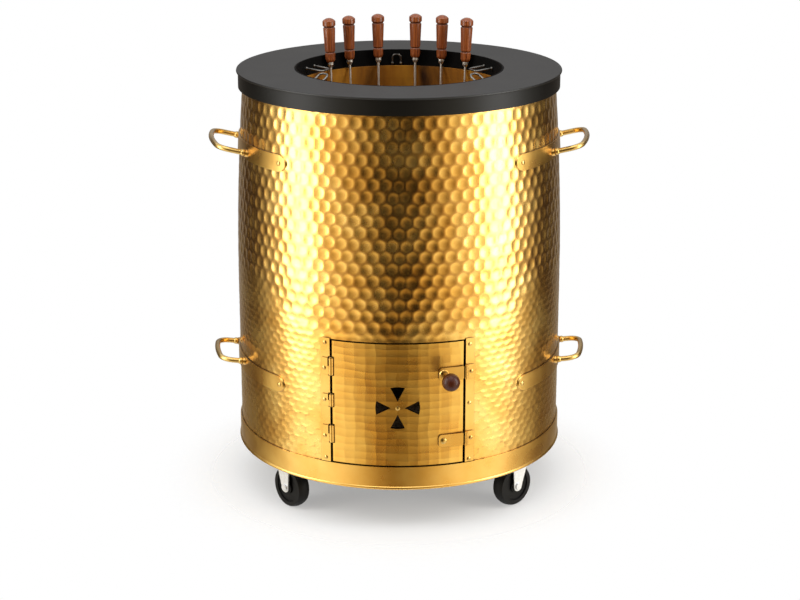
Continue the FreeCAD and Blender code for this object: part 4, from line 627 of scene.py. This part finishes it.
def keep_shading(mesh):
    """Stores every corner's normal: smooth across the sheet's faces, square at its cut edges."""
    faces, corners = len(mesh.polygons), len(mesh.loops)
    normal, centre, area = np.empty(faces * 3), np.empty(faces * 3), np.empty(faces)
    mesh.polygons.foreach_get("normal", normal)
    mesh.polygons.foreach_get("center", centre)
    mesh.polygons.foreach_get("area", area)
    sides = np.empty(faces, int)
    mesh.polygons.foreach_get("loop_total", sides)
    vertex = np.empty(corners, int)
    mesh.loops.foreach_get("vertex_index", vertex)
    normal, centre = normal.reshape(-1, 3), centre.reshape(-1, 3)
    outward = centre * (1, 1, 0)
    outward /= np.linalg.norm(outward, axis=1, keepdims=True)
    sheet = np.abs((normal * outward).sum(1)) > 0.5
    face = np.repeat(np.arange(faces), sides)
    smooth = np.zeros((len(mesh.vertices), 3))
    on_sheet = sheet[face]
    np.add.at(smooth, vertex[on_sheet], (normal * area[:, None])[face[on_sheet]])
    smooth /= np.maximum(np.linalg.norm(smooth, axis=1, keepdims=True), 1e-12)
    kept = np.where(on_sheet[:, None], smooth[vertex], normal[face])
    mesh.attributes.new("kept_normal", "FLOAT_VECTOR", "CORNER").data.foreach_set("vector", kept.ravel())


def quarter(whole, name, middle):
    """The quarter of the drum round that angle, with the whole drum's shading."""
    source = whole.data
    form = bmesh.new()
    form.from_mesh(source)
    away = []
    for face in form.faces:
        centre = face.calc_center_median()
        turn = math.degrees(math.atan2(centre.x, -centre.y)) - middle
        if abs((turn + 180) % 360 - 180) > 45:
            away.append(face)
    bmesh.ops.delete(form, geom=away, context="FACES")
    mesh = bpy.data.meshes.new(name)
    form.to_mesh(mesh)
    form.free()
    for material in source.materials:
        mesh.materials.append(material)
    kept = [tuple(corner.vector) for corner in mesh.attributes["kept_normal"].data]
    mesh.normals_split_custom_set(kept)
    mesh.attributes.remove(mesh.attributes["kept_normal"])
    return piece(name, mesh)


def hammered_drum(material):
    """The drum's sheet with its hammer marks, in four quarters that stand for the plain shell."""
    tree = hammered_sheet_tree(material)
    start = door_turn + opening_half
    whole = grown("drum_sheet", tree, {
        "Lower columns": sheet_columns - opening_columns + 1, "Upper columns": sheet_columns + 1,
        "Lower rows": round((opening_head_z - drum_low) / sheet_row) + 1,
        "Upper rows": round((drum_high - opening_head_z) / sheet_row) + 1,
        "Start": start, "Lower end": start + 2 * math.pi - 2 * opening_half,
        "Upper end": start + 2 * math.pi, "Foot": drum_low, "Opening head": opening_head_z,
        "Head": drum_high, "Barrel radius": barrel_r, "Shoulder height": shoulder_z,
        "Crown height": crown_z, "Crown drop": barrel_r - crown_r, "Dish depth": dish_depth,
        "Mark depth": mark_depth, "Thickness": sheet_t})
    keep_shading(whole.data)
    for name, middle in (("front", 0), ("right", 90), ("rear", 180), ("left", -90)):
        sheet = quarter(whole, f"drum_sheet_{name}", middle)
        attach(sheet, "root")
        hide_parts("outer_shell")
    bpy.data.objects.remove(whole)


# ---------------------------------------------------------------- dressing

def dress(material, *names):
    """Gives that finish to every node whose name ends so."""
    for name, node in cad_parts.items():
        if name.endswith(names):
            for slot in node.material_slots:
                slot.material = material


camera()
lights()
room()
studio_wall()
floor()

hammered = lacquered_brass("hammered_brass", "#EFB548", "#FAD074", (0.21, 0.29), marks_with_painted_rim_shade)
sheet_brass = lacquered_brass("sheet_brass", "#EAB24A", "#F5C868", (0.24, 0.36))
door_brass = lacquered_brass("door_brass", "#EDB244", "#FACB62", (0.24, 0.34), door_marks)
fittings = lacquered_brass("rubbed_brass", "#C9A04A", "#DDBA68", (0.24, 0.36))

dress(door_brass, "door_panel")
dress(sheet_brass, "base_band", "hinge_strip", "latch_strip", "hinge_leaves", "latch_bar", "keeper",
      "_strap")
dress(fittings, "frame_screws", "hinge_pins", "rivet", "rivets", "_loop", "latch_spindle")
dress(stove_enamel("stove_enamel", "#050506", "#0D0D0E", 0.5), "top_plate", "base_plate")
# painted shade: the skirt gets a darker copy of the plate's black enamel, with weaker specular
dress(stove_enamel("skirt_enamel_painted_shade", "#020202", "#080808", 0.28), "top_skirt")
dress(rough_matt("sooted_enamel", "#010101", "#040303", 16.7 * mm, 0.05 * mm), "mouth_collar")
dress(drawn_steel("dulled_wire", "#6A6864", "#8C8A86", (0.36, 0.5)), "mouth_wire_loops")
dress(drawn_steel("skewer_steel", "#D8D6D0", "#F2F0EA", (0.38, 0.5)), "skewer_rod")
dress(zinc_plate(), "castor_plates", "castor_bolts", "castor_fork")
# soot, darkened to near-black as painted shade inside the ash tunnel and behind the vent
dress(rough_matt("sooty_steel_painted_shade", "#040303", "#0A0806", 11 * mm, 0.1 * mm), "ash_tunnel", "vent_damper")
dress(fired_clay(), "clay_pot")
dress(rough_matt("cast_refractory", "#6E5D4A", "#A08D74", 4.2 * mm, 0.8 * mm), "hearth_slab")
dress(rough_matt("mineral_wool", "#8A7D5A", "#B8AC86", 2 * mm, 2 * mm), "insulation")
dress(rough_matt("cast_iron", "#161616", "#2B2A29", 2.5 * mm, 0.6 * mm), "fire_grate")
dress(moulded_rubber(), "castor_wheel")
dress(turned_wood("skewer_wood", "#642A10", "#A85C2C", 0.6), "skewer_handle")
dress(turned_wood("knob_wood", "#300C02", "#4E1C04", 0.2), "latch_knob")
hammered_drum(hammered)

bpy.context.scene.view_settings.view_transform = "Standard"
